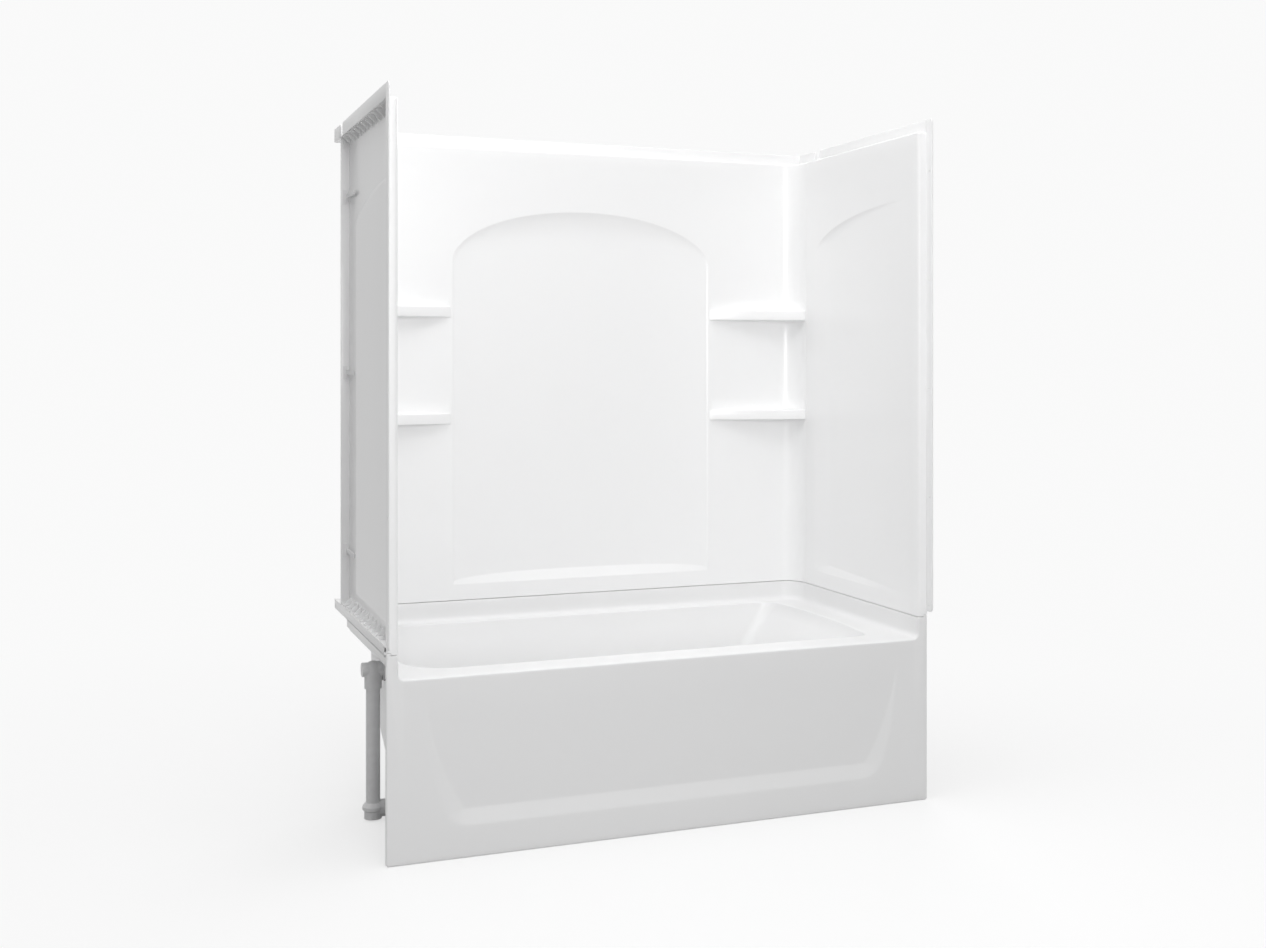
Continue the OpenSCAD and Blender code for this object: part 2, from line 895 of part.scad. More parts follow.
module right_corner_clips()
    mirror([1, 0, 0])
        corner_clips();

// The waste and overflow

module overflow_elbow() {
    flange_x = elbow_face_x - elbow_flange_t;
    color("grey")
    difference() {
        union() {
            translate([tube_x, waste_y, overflow_height])
                sphere(r = fitting_r);
            upright(tube_x, waste_y, elbow_bottom, overflow_height, fitting_r);
            lengthwise(waste_y, overflow_height, tube_x, elbow_face_x, fitting_r - tube_sheet);
            lengthwise(waste_y, overflow_height, flange_x, elbow_face_x, elbow_flange_d / 2);
            lengthwise(waste_y, overflow_height, tube_x - fitting_r - elbow_boss_out, tube_x,
                elbow_boss_d / 2);
        }
        translate([tube_x, waste_y, overflow_height])
            sphere(r = bore_r);
        upright(tube_x, waste_y, elbow_bottom - cut, overflow_height, bore_r);
        upright(tube_x, waste_y, elbow_bottom - cut, elbow_bottom + elbow_socket, socket_r);
        lengthwise(waste_y, overflow_height, tube_x, elbow_face_x + cut, bore_r);
        for (side = [-1, 1])
            lengthwise(waste_y + side * screw_offset, overflow_height,
                flange_x - cut, elbow_face_x + cut, screw_d / 2);
    }
}

module overflow_gasket() {
    color("dimgrey")
    difference() {
        lengthwise(waste_y, overflow_height, elbow_face_x, tub_end_x - tub_sheet, gasket_d / 2);
        lengthwise(waste_y, overflow_height, elbow_face_x - cut, tub_end_x, overflow_hole_d / 2);
    }
}

module overflow_plate() {
    ear_in = lever_t / 2 + push_gap;
    ear_out = ear_in + plate_t;
    slot_half = (tub_end_x + plate_t - pivot_x) * tan(lever_half_swing) + lever_bar;
    color("silver")
    difference() {
        union() {
            lengthwise(waste_y, overflow_height, tub_end_x, tub_end_x + plate_t, plate_d / 2);
            for (side = [-1, 1])
                translate([0, side * (ear_in + ear_out) / 2, 0])
                    block([pivot_x - pin_d, waste_y - plate_t / 2, overflow_height - pin_d],
                        [tub_end_x + plate_t, waste_y + plate_t / 2, overflow_height + pin_d]);
        }
        block([tub_end_x - cut, waste_y - ear_in, overflow_height - slot_half],
            [tub_end_x + plate_t + cut, waste_y + ear_in, overflow_height + slot_half]);
        crosswise(pivot_x, overflow_height, waste_y - ear_out - cut, waste_y + ear_out + cut,
            pin_d / 2);
        for (side = [-1, 1])
            lengthwise(waste_y + side * screw_offset, overflow_height,
                tub_end_x - cut, tub_end_x + plate_t + cut, screw_d / 2 + socket_gap);
    }
}

module overflow_plate_screws() {
    color("silver")
    for (side = [-1, 1]) {
        lengthwise(waste_y + side * screw_offset, overflow_height,
            elbow_face_x - elbow_flange_t, tub_end_x + plate_t + screw_head_t, screw_d / 2);
        lengthwise(waste_y + side * screw_offset, overflow_height,
            tub_end_x + plate_t, tub_end_x + plate_t + screw_head_t, screw_head_d / 2);
    }
}

module lever_pivot_pin() {
    reach = lever_t / 2 + push_gap + plate_t;
    color("silver")
    crosswise(pivot_x, overflow_height, waste_y - reach, waste_y + reach, pin_d / 2);
}

// The lever at rest points down outside the plate, with the stopper closed
module trip_lever() {
    hub_r = pin_d / 2 + lever_bar / 2;
    slot_r = pin_d / 2 + push_gap;
    slot_start = lever_reach - push_gap;
    slot_stop = lever_reach / cos(lever_half_swing) + push_gap;
    color("silver")
    translate([pivot_x, waste_y, overflow_height])
        rotate([0, lever_half_swing, 0])
            difference() {
                union() {
                    block([-slot_start, -lever_t / 2, -lever_bar / 2],
                        [lever_front, lever_t / 2, lever_bar / 2]);
                    block([lever_front - lever_t, -lever_tab_width / 2, -lever_tab],
                        [lever_front, lever_tab_width / 2, lever_bar / 2]);
                    block([-slot_start - hub_r, -lever_t / 2, -hub_r],
                        [-slot_start + hub_r, lever_t / 2, hub_r]);
                    crosswise(0, 0, -lever_t / 2, lever_t / 2, hub_r);
                }
                crosswise(0, 0, -lever_t, lever_t, pin_d / 2 + pin_gap);
                crosswise(-slot_start, 0, -lever_t, lever_t, slot_r);
                crosswise(-slot_stop, 0, -lever_t, lever_t, slot_r);
                block([-slot_stop, -lever_t, -slot_r], [-slot_start, lever_t, slot_r]);
            }
}

// The fork at the top of the rod, and the pin that joins it to the lever
fork_in = lever_t / 2 + push_gap;
fork_out = fork_in + fork_sheet;
link_height = overflow_height + half_travel;

module linkage_pin() {
    color("silver")
    crosswise(tube_x, link_height, waste_y - fork_out, waste_y + fork_out, pin_d / 2);
}

// The spring stands on the rocker's disc, which is tilted at both ends of its swing
spring_bottom = arm_height + half_travel + striker_t / 2
    + striker_d / 2 * sin(rocker_half_swing) + push_gap;
spring_top = spring_bottom + spring_length;

module linkage_rod() {
    fork_bottom = link_height - fork_depth;
    color("goldenrod")
    difference() {
        union() {
            block([tube_x - pin_d, waste_y - fork_out, fork_bottom],
                [tube_x + pin_d, waste_y + fork_out, link_height + pin_d]);
            upright(tube_x, waste_y, spring_top, fork_bottom + fork_sheet, rod_d / 2);
            upright(tube_x, waste_y, spring_top - rod_tail, spring_top, rod_d / 2);
            upright(tube_x, waste_y, spring_top, spring_top + striker_t, spring_d / 2);
        }
        block([tube_x - pin_d - cut, waste_y - fork_in, fork_bottom + fork_sheet],
            [tube_x + pin_d + cut, waste_y + fork_in, link_height + pin_d + cut]);
        crosswise(tube_x, link_height, waste_y - fork_out - cut, waste_y + fork_out + cut, pin_d / 2);
    }
}

// The spring's wire, as rings of points along a helix
wire_sides = 6;
turn_steps = 12;
wire_rings = spring_turns * turn_steps;
wire_points = [
    for (ring = [0 : wire_rings])
        for (side = [0 : wire_sides - 1])
            let (angle = 360 * ring / turn_steps)
            let (around = 360 * side / wire_sides)
            let (r = (spring_d - spring_wire + spring_wire * cos(around)) / 2)
            let (climb = (spring_length - spring_wire) * ring / wire_rings)
            [r * cos(angle), r * sin(angle), climb + spring_wire * (1 + sin(around)) / 2]];
wire_faces = [
    [for (side = [wire_sides - 1 : -1 : 0]) side],
    for (ring = [0 : wire_rings - 1])
        for (side = [0 : wire_sides - 1])
            let (here = ring * wire_sides + side)
            let (next = ring * wire_sides + (side + 1) % wire_sides)
            each [[here, next, here + wire_sides], [next, next + wire_sides, here + wire_sides]],
    [for (side = [0 : wire_sides - 1]) wire_rings * wire_sides + side]];

module linkage_spring() {
    color("lightsteelblue")
    translate([tube_x, waste_y, spring_bottom])
        polyhedron(wire_points, wire_faces);
}

module overflow_tube() {
    low = collar_top - collar_socket + push_gap;
    high = elbow_bottom + elbow_socket - push_gap;
    color("grey")
    difference() {
        upright(tube_x, waste_y, low, high, tube_r);
        upright(tube_x, waste_y, low - cut, high + cut, bore_r);
    }
}

// The tee's branch ends here, in a socket for the waste arm
branch_end = tube_x + collar_d / 2 + nut_length;
branch_socket = branch_end - nut_length / 2;
shoe_socket = drain_x - fitting_r;

module waste_tee() {
    collar_r = collar_d / 2;
    outlet_r = outlet_d / 2;
    slant = collar_r - outlet_r;
    color("grey")
    difference() {
        union() {
            translate([tube_x, waste_y, 0])
                rotate_extrude()
                    polygon([
                        [0, outlet_bottom],
                        [outlet_r, outlet_bottom],
                        [outlet_r, outlet_top],
                        [collar_r, outlet_top + slant],
                        [collar_r, collar_top - 2 * slant],
                        [socket_r + tube_sheet, collar_top],
                        [0, collar_top]]);
            lengthwise(waste_y, arm_height, tube_x, branch_end, fitting_r - socket_gap);
        }
        upright(tube_x, waste_y, outlet_bottom - cut, collar_top + cut, bore_r);
        upright(tube_x, waste_y, outlet_bottom - cut, outlet_bottom + outlet_socket, socket_r);
        upright(tube_x, waste_y, collar_top - collar_socket, rim_height, socket_r);
        lengthwise(waste_y, arm_height, tube_x, branch_end + cut, bore_r);
        lengthwise(waste_y, arm_height, branch_socket, branch_end + cut, socket_r);
    }
}

module waste_arm() {
    color("grey")
    difference() {
        lengthwise(waste_y, arm_height, branch_socket + push_gap, shoe_socket - push_gap, tube_r);
        lengthwise(waste_y, arm_height, branch_socket, shoe_socket, bore_r);
    }
}

module arm_slip_nut() {
    start = branch_socket;
    color("dimgrey")
    difference() {
        lengthwise(waste_y, arm_height, start, start + nut_length, nut_d / 2);
        lengthwise(waste_y, arm_height, start - cut, branch_end + push_gap, fitting_r);
        lengthwise(waste_y, arm_height, start, start + nut_length + cut, socket_r);
    }
}

// The rocker at rest holds the stopper's end down
module rocker_arm() {
    color("goldenrod")
    translate([rocker_x, waste_y, arm_height])
        rotate([0, rocker_half_swing, 0]) {
            lengthwise(0, 0, -rocker_reach, rocker_front, rocker_d / 2);
            upright(-rocker_reach, 0, -striker_t / 2, striker_t / 2, striker_d / 2);
            crosswise(0, 0, push_gap - bore_r, bore_r - push_gap, pin_d / 2);
            translate([rocker_front, 0, 0])
                sphere(r = lifter_d / 2);
        }
}

module drain_shoe() {
    floor_z = arm_height - bore_r;
    color("grey")
    difference() {
        union() {
            upright(drain_x, waste_y, arm_height - fitting_r, shoe_top, fitting_r);
            upright(drain_x, waste_y, shoe_top - shoe_flange_t, shoe_top, shoe_flange_d / 2);
            lengthwise(waste_y, arm_height, shoe_socket - nut_length, drain_x, fitting_r);
        }
        upright(drain_x, waste_y, floor_z, shoe_top + cut, drain_body_d / 2 + socket_gap);
        lengthwise(waste_y, arm_height, shoe_socket - nut_length - cut, drain_x, bore_r);
        lengthwise(waste_y, arm_height, shoe_socket - nut_length - cut, shoe_socket, socket_r);
    }
}

module shoe_gasket() {
    color("dimgrey")
    difference() {
        upright(drain_x, waste_y, shoe_top, shoe_top + shoe_gasket_t, shoe_flange_d / 2);
        upright(drain_x, waste_y, shoe_top - cut, shoe_top + shoe_gasket_t + cut, drain_hole_d / 2);
    }
}

// The crossbar in the drain guides the stopper's stem
crossbar_height = shoe_top - crossbar_drop;
drain_body_end = crossbar_height - drain_body_wall;
seat_height = floor_height + drain_flange_t;

module drain_flange() {
    body_r = drain_body_d / 2;
    inner_r = body_r - drain_body_wall;
    color("silver")
    difference() {
        union() {
            difference() {
                union() {
                    upright(drain_x, waste_y, floor_height, seat_height, drain_flange_d / 2);
                    upright(drain_x, waste_y, drain_body_end, floor_height, body_r);
                }
                upright(drain_x, waste_y, drain_body_end - cut, seat_height + cut, inner_r);
            }
            for (turn = [0, 90])
                translate([drain_x, waste_y, crossbar_height])
                    rotate([0, 0, turn])
                        block([-body_r + drain_body_wall / 2, -crossbar_width / 2, 0],
                            [body_r - drain_body_wall / 2, crossbar_width / 2, crossbar_t]);
            upright(drain_x, waste_y, crossbar_height, crossbar_height + crossbar_t,
                stem_guide_d / 2);
        }
        upright(drain_x, waste_y, crossbar_height - cut, seat_height, stem_d / 2 + pin_gap);
    }
}

seal_bottom = seat_height + push_gap;
cap_bottom = seal_bottom + seal_t;

module stopper() {
    cap_r = stopper_d / 2;
    dome_r = (cap_r * cap_r + stopper_dome * stopper_dome) / (2 * stopper_dome);
    dome_angle = asin(cap_r / dome_r);
    cap_top = cap_bottom + stopper_t;
    color("silver") {
        upright(drain_x, waste_y, arm_height - half_lift + lifter_d / 2 + push_gap, cap_top,
            stem_d / 2);
        upright(drain_x, waste_y, floor_height, cap_top, stem_boss_d / 2);
        translate([drain_x, waste_y, 0])
            rotate_extrude()
                polygon(concat(
                    [[0, cap_bottom], [cap_r, cap_bottom]],
                    [for (k = [0 : corner_steps])
                        let (angle = dome_angle * (1 - k / corner_steps))
                        [dome_r * sin(angle), cap_top + stopper_dome - dome_r * (1 - cos(angle))]]));
    }
}

module stopper_seal() {
    color("dimgrey")
    difference() {
        upright(drain_x, waste_y, seal_bottom, cap_bottom, stopper_d / 2 - seal_t);
        upright(drain_x, waste_y, seal_bottom - cut, cap_bottom + cut, stem_boss_d / 2);
    }
}

tub();
support_feet();
back_wall();
left_end_wall();
right_end_wall();
left_corner_clips();
right_corner_clips();
overflow_elbow();
overflow_gasket();
overflow_plate();
overflow_plate_screws();
lever_pivot_pin();
trip_lever();
linkage_pin();
linkage_rod();
linkage_spring();
overflow_tube();
waste_tee();
waste_arm();
arm_slip_nut();
rocker_arm();
drain_shoe();
shoe_gasket();
drain_flange();
stopper();
stopper_seal();
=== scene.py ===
"""Alcove bath and shower: smooth white mouldings, waste and overflow, pale floor and view."""
import math

import bmesh
import bpy
import numpy as np
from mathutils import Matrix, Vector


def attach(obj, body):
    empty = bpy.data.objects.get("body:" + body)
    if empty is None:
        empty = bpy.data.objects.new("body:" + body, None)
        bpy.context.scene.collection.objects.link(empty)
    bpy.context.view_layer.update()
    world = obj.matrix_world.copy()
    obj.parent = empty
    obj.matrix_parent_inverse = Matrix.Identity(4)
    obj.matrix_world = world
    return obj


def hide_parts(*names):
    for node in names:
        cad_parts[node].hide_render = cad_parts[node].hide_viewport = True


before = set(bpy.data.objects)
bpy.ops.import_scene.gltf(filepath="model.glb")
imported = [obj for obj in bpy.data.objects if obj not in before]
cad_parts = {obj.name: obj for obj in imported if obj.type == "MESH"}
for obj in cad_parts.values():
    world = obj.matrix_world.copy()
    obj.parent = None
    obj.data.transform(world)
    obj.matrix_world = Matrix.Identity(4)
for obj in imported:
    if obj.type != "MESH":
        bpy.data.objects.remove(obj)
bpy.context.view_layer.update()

# Sizes in millimetres, as the solids have them
HALF, FRONT, BACK = 765.0, -369.0, 399.0
ROOM, ROOM_BACK, ROOM_CORNER = 735.0, 369.0, 64.0
SEAM, SEAM_GAP, SILL_GAP = 300.0, 0.3, 1.3
SHEET = 4.0
RIM, LEDGE, EAR, UPSTAND, SKIRT = 454.0, 515.0, 522.0, 533.0, 492.0
EAR_BACK, EAR_WIDTH, UPSTAND_FRONT, SKIRT_BACK = -344.0, 13.0, -339.0, 186.0
EDGE, EAR_EDGE, COVE, CROWN = 5.0, 1.5, 15.0, 6.0
BEARING, WALL_TOP, FLANGE_TOP = 537.0, 1878.0, 1912.0
FLANGE_STOP, FLANGE_GAP, FLANGE_CORNER = 138.0, 25.0, 12.0
BASIN = {"left": -685.0, "right": 632.0, "front": -269.0, "back": 345.0, "middle": 38.0}
BOW, BACKREST_SLOPE = 24.0, math.tan(math.radians(38))
FLOOR, FLOOR_RISE, DRAIN_X, WASTE_Y, OVERFLOW_Z = 70.0, 10.0, -495.0, 15.0, 404.0
DRAIN_RADIUS, OVERFLOW_RADIUS = 20.5, 24.0

# Edges that turn by more than this stay sharp
SHARP = math.radians(48)


# Helpers on arrays

def steps(low, high, count):
    """Evenly spaced values from low to high, both included."""
    return np.linspace(low, high, count)


def smooth(t):
    """0 below 0 and 1 above 1, with the cubic 3t^2 - 2t^3 between."""
    t = np.clip(t, 0, 1)
    return t * t * (3 - 2 * t)


def arc(x, y, r, start, stop, count):
    """Points (x + r cos a, y + r sin a) with a from start to stop in degrees."""
    a = np.radians(steps(start, stop, count))
    return np.stack([x + r * np.cos(a), y + r * np.sin(a)], axis=1)


def spread(stops, spacings):
    """Values that run through the stops, with about the given spacing on each stretch."""
    parts = [np.array([stops[0]])]
    for low, high, spacing in zip(stops[:-1], stops[1:], spacings):
        count = max(1, round(abs(high - low) / spacing))
        parts.append(steps(low, high, count + 1)[1:])
    return np.concatenate(parts)


# Helpers on meshes

def grid_faces(rows, columns, closed=False):
    """The quads of a grid of points, row by row, closed round its columns if asked."""
    index = np.arange(rows * columns).reshape(rows, columns)
    right = np.roll(index, -1, axis=1) if closed else index[:, 1:]
    left = index if closed else index[:, :-1]
    quads = np.stack([left[:-1], right[:-1], right[1:], left[1:]], axis=-1)
    return quads.reshape(-1, 4)


def facing(points, faces, towards):
    """The faces, turned over where most of their area would look away from towards."""
    a, b, c, d = (points[faces[:, k]] for k in range(4))
    normals = np.cross(c - a, d - b)
    looks = np.einsum("ij,ij->i", normals, np.asarray(towards) - (a + b + c + d) / 4)
    return faces[:, ::-1] if looks.sum() < 0 else faces


def grid_part(grid, towards, closed=False):
    """The points of a grid and its faces, which look towards a point."""
    points = grid.reshape(-1, 3)
    return points, facing(points, grid_faces(*grid.shape[:2], closed), towards)


def merged(parts):
    """The points of all the parts, and their faces numbered to match."""
    points, faces, first = [], [], 0
    for part_points, part_faces in parts:
        points.append(part_points)
        faces += [[int(k) + first for k in face] for face in part_faces]
        first += len(part_points)
    return np.concatenate(points), faces


def object_of(name, points, faces):
    """A mesh object from points in millimetres, with doubled points merged."""
    mesh = bpy.data.meshes.new(name)
    mesh.from_pydata((np.asarray(points) * 0.001).tolist(), [], [list(f) for f in faces])
    work = bmesh.new()
    work.from_mesh(mesh)
    bmesh.ops.remove_doubles(work, verts=work.verts, dist=2e-5)
    bmesh.ops.dissolve_degenerate(work, edges=work.edges, dist=1e-6)
    work.to_mesh(mesh)
    work.free()
    mesh.shade_smooth()
    piece = bpy.data.objects.new(name, mesh)
    bpy.context.scene.collection.objects.link(piece)
    return piece


def thicken(piece):
    """Gives a sheet its thickness, behind the face that is seen."""
    wall = piece.modifiers.new("wall", "SOLIDIFY")
    wall.thickness = SHEET * 0.001
    wall.offset = -1
    return piece


def sheet(name, grid, towards):
    """A sheet whose seen face is a grid of points, with its thickness behind it."""
    return thicken(object_of(name, *grid_part(grid, towards)))


def prism(name, outline, axis, low, high, bevel=1.0):
    """A closed outline of two coordinates, extruded along an axis and lightly bevelled."""
    outline = np.asarray(outline, float)
    count = len(outline)
    others = [k for k in range(3) if k != axis]
    points = np.zeros((2 * count, 3))
    points[:, others] = np.concatenate([outline, outline])
    points[:count, axis] = low
    points[count:, axis] = high
    faces = [list(range(count))[::-1], list(range(count, 2 * count))]
    for k in range(count):
        after = (k + 1) % count
        faces.append([k, after, count + after, count + k])
    piece = object_of(name, points, faces)
    work = bmesh.new()
    work.from_mesh(piece.data)
    bmesh.ops.recalc_face_normals(work, faces=work.faces)
    work.to_mesh(piece.data)
    work.free()
    piece.data.shade_flat()
    if bevel:
        edge = piece.modifiers.new("edge", "BEVEL")
        edge.width = bevel * 0.001
        edge.segments = 2
        edge.limit_method = "ANGLE"
        edge.angle_limit = math.radians(50)
    return piece


def rounded_outline(low, high, radii):
    """A rectangle with its corners (low low, high low, high high, low high) rounded."""
    corners = [(low[0], low[1], 1, 1, 180), (high[0], low[1], -1, 1, 270),
               (high[0], high[1], -1, -1, 0), (low[0], high[1], 1, -1, 90)]
    parts = []
    for (x, y, to_x, to_y, start), r in zip(corners, radii):
        if r == 0:
            parts.append(np.array([[x, y]]))
        else:
            parts.append(arc(x + to_x * r, y + to_y * r, r, start, start + 90, 7))
    return np.concatenate(parts)


def joined(name, parts):
    """One object from the parts, with their modifiers applied."""
    shapes = bpy.context.evaluated_depsgraph_get()
    work = bmesh.new()
    for part in parts:
        made = part.evaluated_get(shapes).to_mesh()
        work.from_mesh(made)
        part.evaluated_get(shapes).to_mesh_clear()
    mesh = bpy.data.meshes.new(name)
    work.to_mesh(mesh)
    work.free()
    mesh.set_sharp_from_angle(angle=SHARP)
    for part in parts:
        bpy.data.objects.remove(part)
    piece = bpy.data.objects.new(name, mesh)
    bpy.context.scene.collection.objects.link(piece)
    return piece


def mirrored_line(points):
    """A line on the drain side, then the same line mirrored in X, run backwards."""
    other = points[::-1].copy()
    other[:, 0] *= -1
    return points, other


# The curb round the back and the ends

SIDE_Y = spread([FRONT + EDGE, UPSTAND_FRONT, ROOM_BACK - ROOM_CORNER], [5, 22])
CORNER_X = ROOM - ROOM_CORNER
BACK_X = spread([-CORNER_X, -600, 600, CORNER_X], [12, 24, 12])
RISER_Z = (482, 496)
LEDGE_OUT = ((16, 40), (25, 8))


def curb_row(out, corner_radius, height):
    """One row of the curb at a height, out from the walls' inner face: along the drain
    end, round the corner, along the back and on to the other end."""
    half, back = ROOM + out, ROOM_BACK + out
    end = back - corner_radius
    stretch = (end - UPSTAND_FRONT) / (SIDE_Y[-1] - UPSTAND_FRONT)
    y = np.where(SIDE_Y <= UPSTAND_FRONT, SIDE_Y,
                 UPSTAND_FRONT + (SIDE_Y - UPSTAND_FRONT) * stretch)
    left = np.stack([np.full_like(y, -half), y], axis=1)
    turn = arc(-half + corner_radius, end, corner_radius, 180, 90, 11)[1:]
    inner = BACK_X[1:-1] * (half - corner_radius) / BACK_X[-1]
    middle = np.stack([inner, np.full_like(inner, back)], axis=1)
    first, last = mirrored_line(np.concatenate([left, turn]))
    plan = np.concatenate([first, middle, last])
    return np.column_stack([plan, np.full(len(plan), height)])


def curb_grid():
    """The curb's section carried round: a cove, the riser, a rounded edge and the ledge,
    which ends inside the upstand."""
    cove = arc(-COVE, RIM + COVE, COVE, -90, 0, 7)
    edge = arc(EDGE, LEDGE - EDGE, EDGE, 180, 90, 6)
    rows = [curb_row(d, ROOM_CORNER + d, z) for d, z in cove]
    rows += [curb_row(0, ROOM_CORNER, z) for z in RISER_Z]
    rows += [curb_row(d, ROOM_CORNER + d, z) for d, z in edge]
    rows += [curb_row(out, radius, LEDGE) for out, radius in LEDGE_OUT]
    return np.stack(rows)


CURB = curb_grid()

# The apron, the rim and the outer sides

PANEL_Z = np.array([0, 70, 95, 126, 200, 300, 350, 425, 460], float)
PANEL_X = np.array([600, 606, 613, 625, 646, 661, 666, 670, 671], float)
PANEL_TOP, PANEL_LOW, PANEL_FOOT, PANEL_DEPTH = 413.0, 121.0, 76.0, 7.0
SIDE_ROWS = 24
FOOT_EDGE, FOOT_DEPTH = 4.0, 25.0


def panel_side(z):
    """Half the width of the apron's panel at a height, a smooth line through its sides."""
    fine = np.linspace(0, 460, 185)
    line = np.interp(fine, PANEL_Z, PANEL_X)
    kernel = np.ones(17) / 17
    padded = np.concatenate([np.full(8, line[0]), line, np.full(8, line[-1])])
    return np.interp(z, fine, np.convolve(padded, kernel, "valid"))


def panel_band(z):
    """Width of the slope along the panel's side, from 22 mm at its top to 56 mm."""
    return np.interp(z, [PANEL_LOW, PANEL_TOP], [56, 22])


def eased(share):
    """A share that starts gently: s^2 / 0.3 up to 0.15, then s - 0.075."""
    share = np.clip(share, 0, 1)
    return np.where(share < 0.15, share ** 2 / 0.3, share - 0.075) / 0.925


def apron_depth(x, z):
    """The face of the apron behind its plane. It is the least of the shares of the slopes
    from the panel's top, its side and its foot, with the corner between the last two
    rounded, times the depth."""
    top = (PANEL_TOP - z) / (PANEL_TOP - PANEL_LOW)
    side = (panel_side(z) - np.abs(x)) / panel_band(z)
    foot = (z - PANEL_FOOT) / (PANEL_LOW - PANEL_FOOT) + 0 * x
    corner = np.maximum(1, np.minimum(side, foot)) - np.hypot(
        np.maximum(1 - side, 0), np.maximum(1 - foot, 0))
    return PANEL_DEPTH * eased(np.minimum(top, corner))


def apron_columns(z):
    """Positions across the apron's middle at a height: even over the panel, close over
    its side slope, and even again to the corner."""
    side = panel_side(z)
    width = panel_band(z)
    half_line = np.concatenate([
        steps(0, 1, 20)[:-1] * (side - width - 8),
        side - width - 8 + steps(0, 1, 17) * (width + 12),
        side + 4 + steps(0, 1, 5)[1:] * (ROOM - COVE - side - 4)])
    return np.concatenate([-half_line[::-1], half_line[1:]])


APRON_TOP = RIM - EDGE
APRON_Z = spread([APRON_TOP, 420, 400, 134, 112, 66, 20, 4], [8, 4, 10, 3, 3, 9, 8])
DECK_X = apron_columns(APRON_TOP)


def ear_line():
    """The ear's section on the drain side: its outer edge, its top and its inner side."""
    inner = -HALF + EAR_WIDTH
    return np.concatenate([
        arc(-HALF + EDGE, EAR - EDGE, EDGE, 180, 90, 5),
        [[inner - EAR_EDGE, EAR], [inner, EAR - EAR_EDGE], [inner, LEDGE]]])


def rim_path():
    """The line of the rim in the plane behind its edge, from the foot of the outer side
    over the ear, down the riser, along the deck and up again. Each point has the
    direction into the moulding and the size of the edge there."""
    outer = np.stack([np.full(SIDE_ROWS, -HALF),
                      steps(FOOT_EDGE, EAR - EDGE, SIDE_ROWS)], axis=1)
    ear = ear_line()[1:]
    riser = CURB[-2::-1, 0][:, [0, 2]]
    first, last = mirrored_line(np.concatenate([outer, ear, riser]))
    deck = np.stack([DECK_X[1:-1], np.full(len(DECK_X) - 2, RIM)], axis=1)
    line = np.concatenate([first, deck, last])
    ahead = unit(np.gradient(line, axis=0))
    into = np.stack([ahead[:, 1], -ahead[:, 0]], axis=1)
    into[line[:, 1] == RIM] = [0, -1]
    size = np.full(len(first), EDGE)
    inner = len(outer) + len(ear) - 3
    size[inner:inner + 3] = [EAR_EDGE, EAR_EDGE, 2 * EAR_EDGE]
    return line, into, np.concatenate([size, np.full(len(deck), EDGE), size[::-1]])


def unit(v):
    """Rows of vectors with length 1."""
    return v / np.linalg.norm(v, axis=-1, keepdims=True)


def foot_rows(line):
    """The foot of the apron from a line near it: a quarter turn of FOOT_EDGE, and then the
    underside as far back as FOOT_DEPTH."""
    turns = np.radians(steps(0, 90, 5))
    rows = [line * [1, 1, 0] + [0, FOOT_EDGE * (1 - math.cos(a)),
                                FOOT_EDGE * (1 - math.sin(a))] for a in turns]
    rows.append(line * [1, 0, 0] + [0, FRONT + FOOT_DEPTH, 0])
    return np.stack(rows)


def tub_front():
    """The rounded rim, the returns of the sides behind it, the plane of the apron with its
    panel, the foot, the flat part of the apron beside the middle, and its foot."""
    line, into, size = rim_path()
    rounding = []
    for turn in np.radians(steps(0, 90, 7)):
        shift = into * (size * (1 - math.cos(turn)))[:, None]
        depth = np.full(len(line), FRONT + EDGE - EDGE * math.sin(turn))
        rounding.append(np.column_stack([line[:, 0] + shift[:, 0], depth,
                                         line[:, 1] + shift[:, 1]]))
    returns = np.stack([
        np.column_stack([line[:SIDE_ROWS, 0], np.full(SIDE_ROWS, y), line[:SIDE_ROWS, 1]])
        for y in (FRONT + EDGE, FRONT + EDGE + 3)])
    z = APRON_Z[:, None]
    x = np.stack([apron_columns(v) for v in APRON_Z])
    y = FRONT + apron_depth(x, z)
    middle = np.stack([x, y, np.broadcast_to(z, x.shape)], axis=-1)
    count = len(line) // 2 - (len(DECK_X) - 2) // 2
    outline = np.concatenate([rounding[-1][:count], middle[1:, 0]])
    corner = np.array([[-ROOM + COVE, FRONT, FOOT_EDGE], [-HALF + EDGE, FRONT, FOOT_EDGE]])
    return (np.stack(rounding), returns, middle, foot_rows(middle[-1]), outline,
            foot_rows(corner))


# The deck and the basin

WALL_ROWS, FILLET_ROWS, FLOOR_RUN = 10, 9, (20, 40)
SIDE_SLOPE, END_SLOPE, SIDE_FILLET, BACKREST_FILLET = 0.1615, 0.19, 60, 140
DRAIN_CORNER, BACKREST_CORNER, LEAST_CORNER = 125, 38, 30
HUB_X, LEVEL_X, RISE_X = -60.0, DRAIN_X + 76, 364.0


def basin_ring(direction, bounds, radius, bow):
    """The basin's line at one row: a rectangle's point in each direction, its corners
    rounded, and its backrest end bowed out by bow (1 - b^2)."""
    left, right, front, back = bounds
    centre = np.array([(left + right) / 2, (front + back) / 2])
    half = np.array([(right - left) / 2, (back - front) / 2])
    p = direction * half
    inner = half - radius[:, None]
    over = np.abs(p) - inner
    in_corner = (over > 0).all(axis=1)
    towards = unit(np.where(in_corner[:, None], np.maximum(over, 1e-6), 1.0))
    rounded = np.sign(p) * (inner + radius[:, None] * towards)
    p = np.where(in_corner[:, None], rounded, p)
    out = np.clip(p[:, 0] / half[0], 0, 1) ** 8 * (1 - (p[:, 1] / half[1]) ** 2)
    p[:, 0] += bow * out
    return p + centre


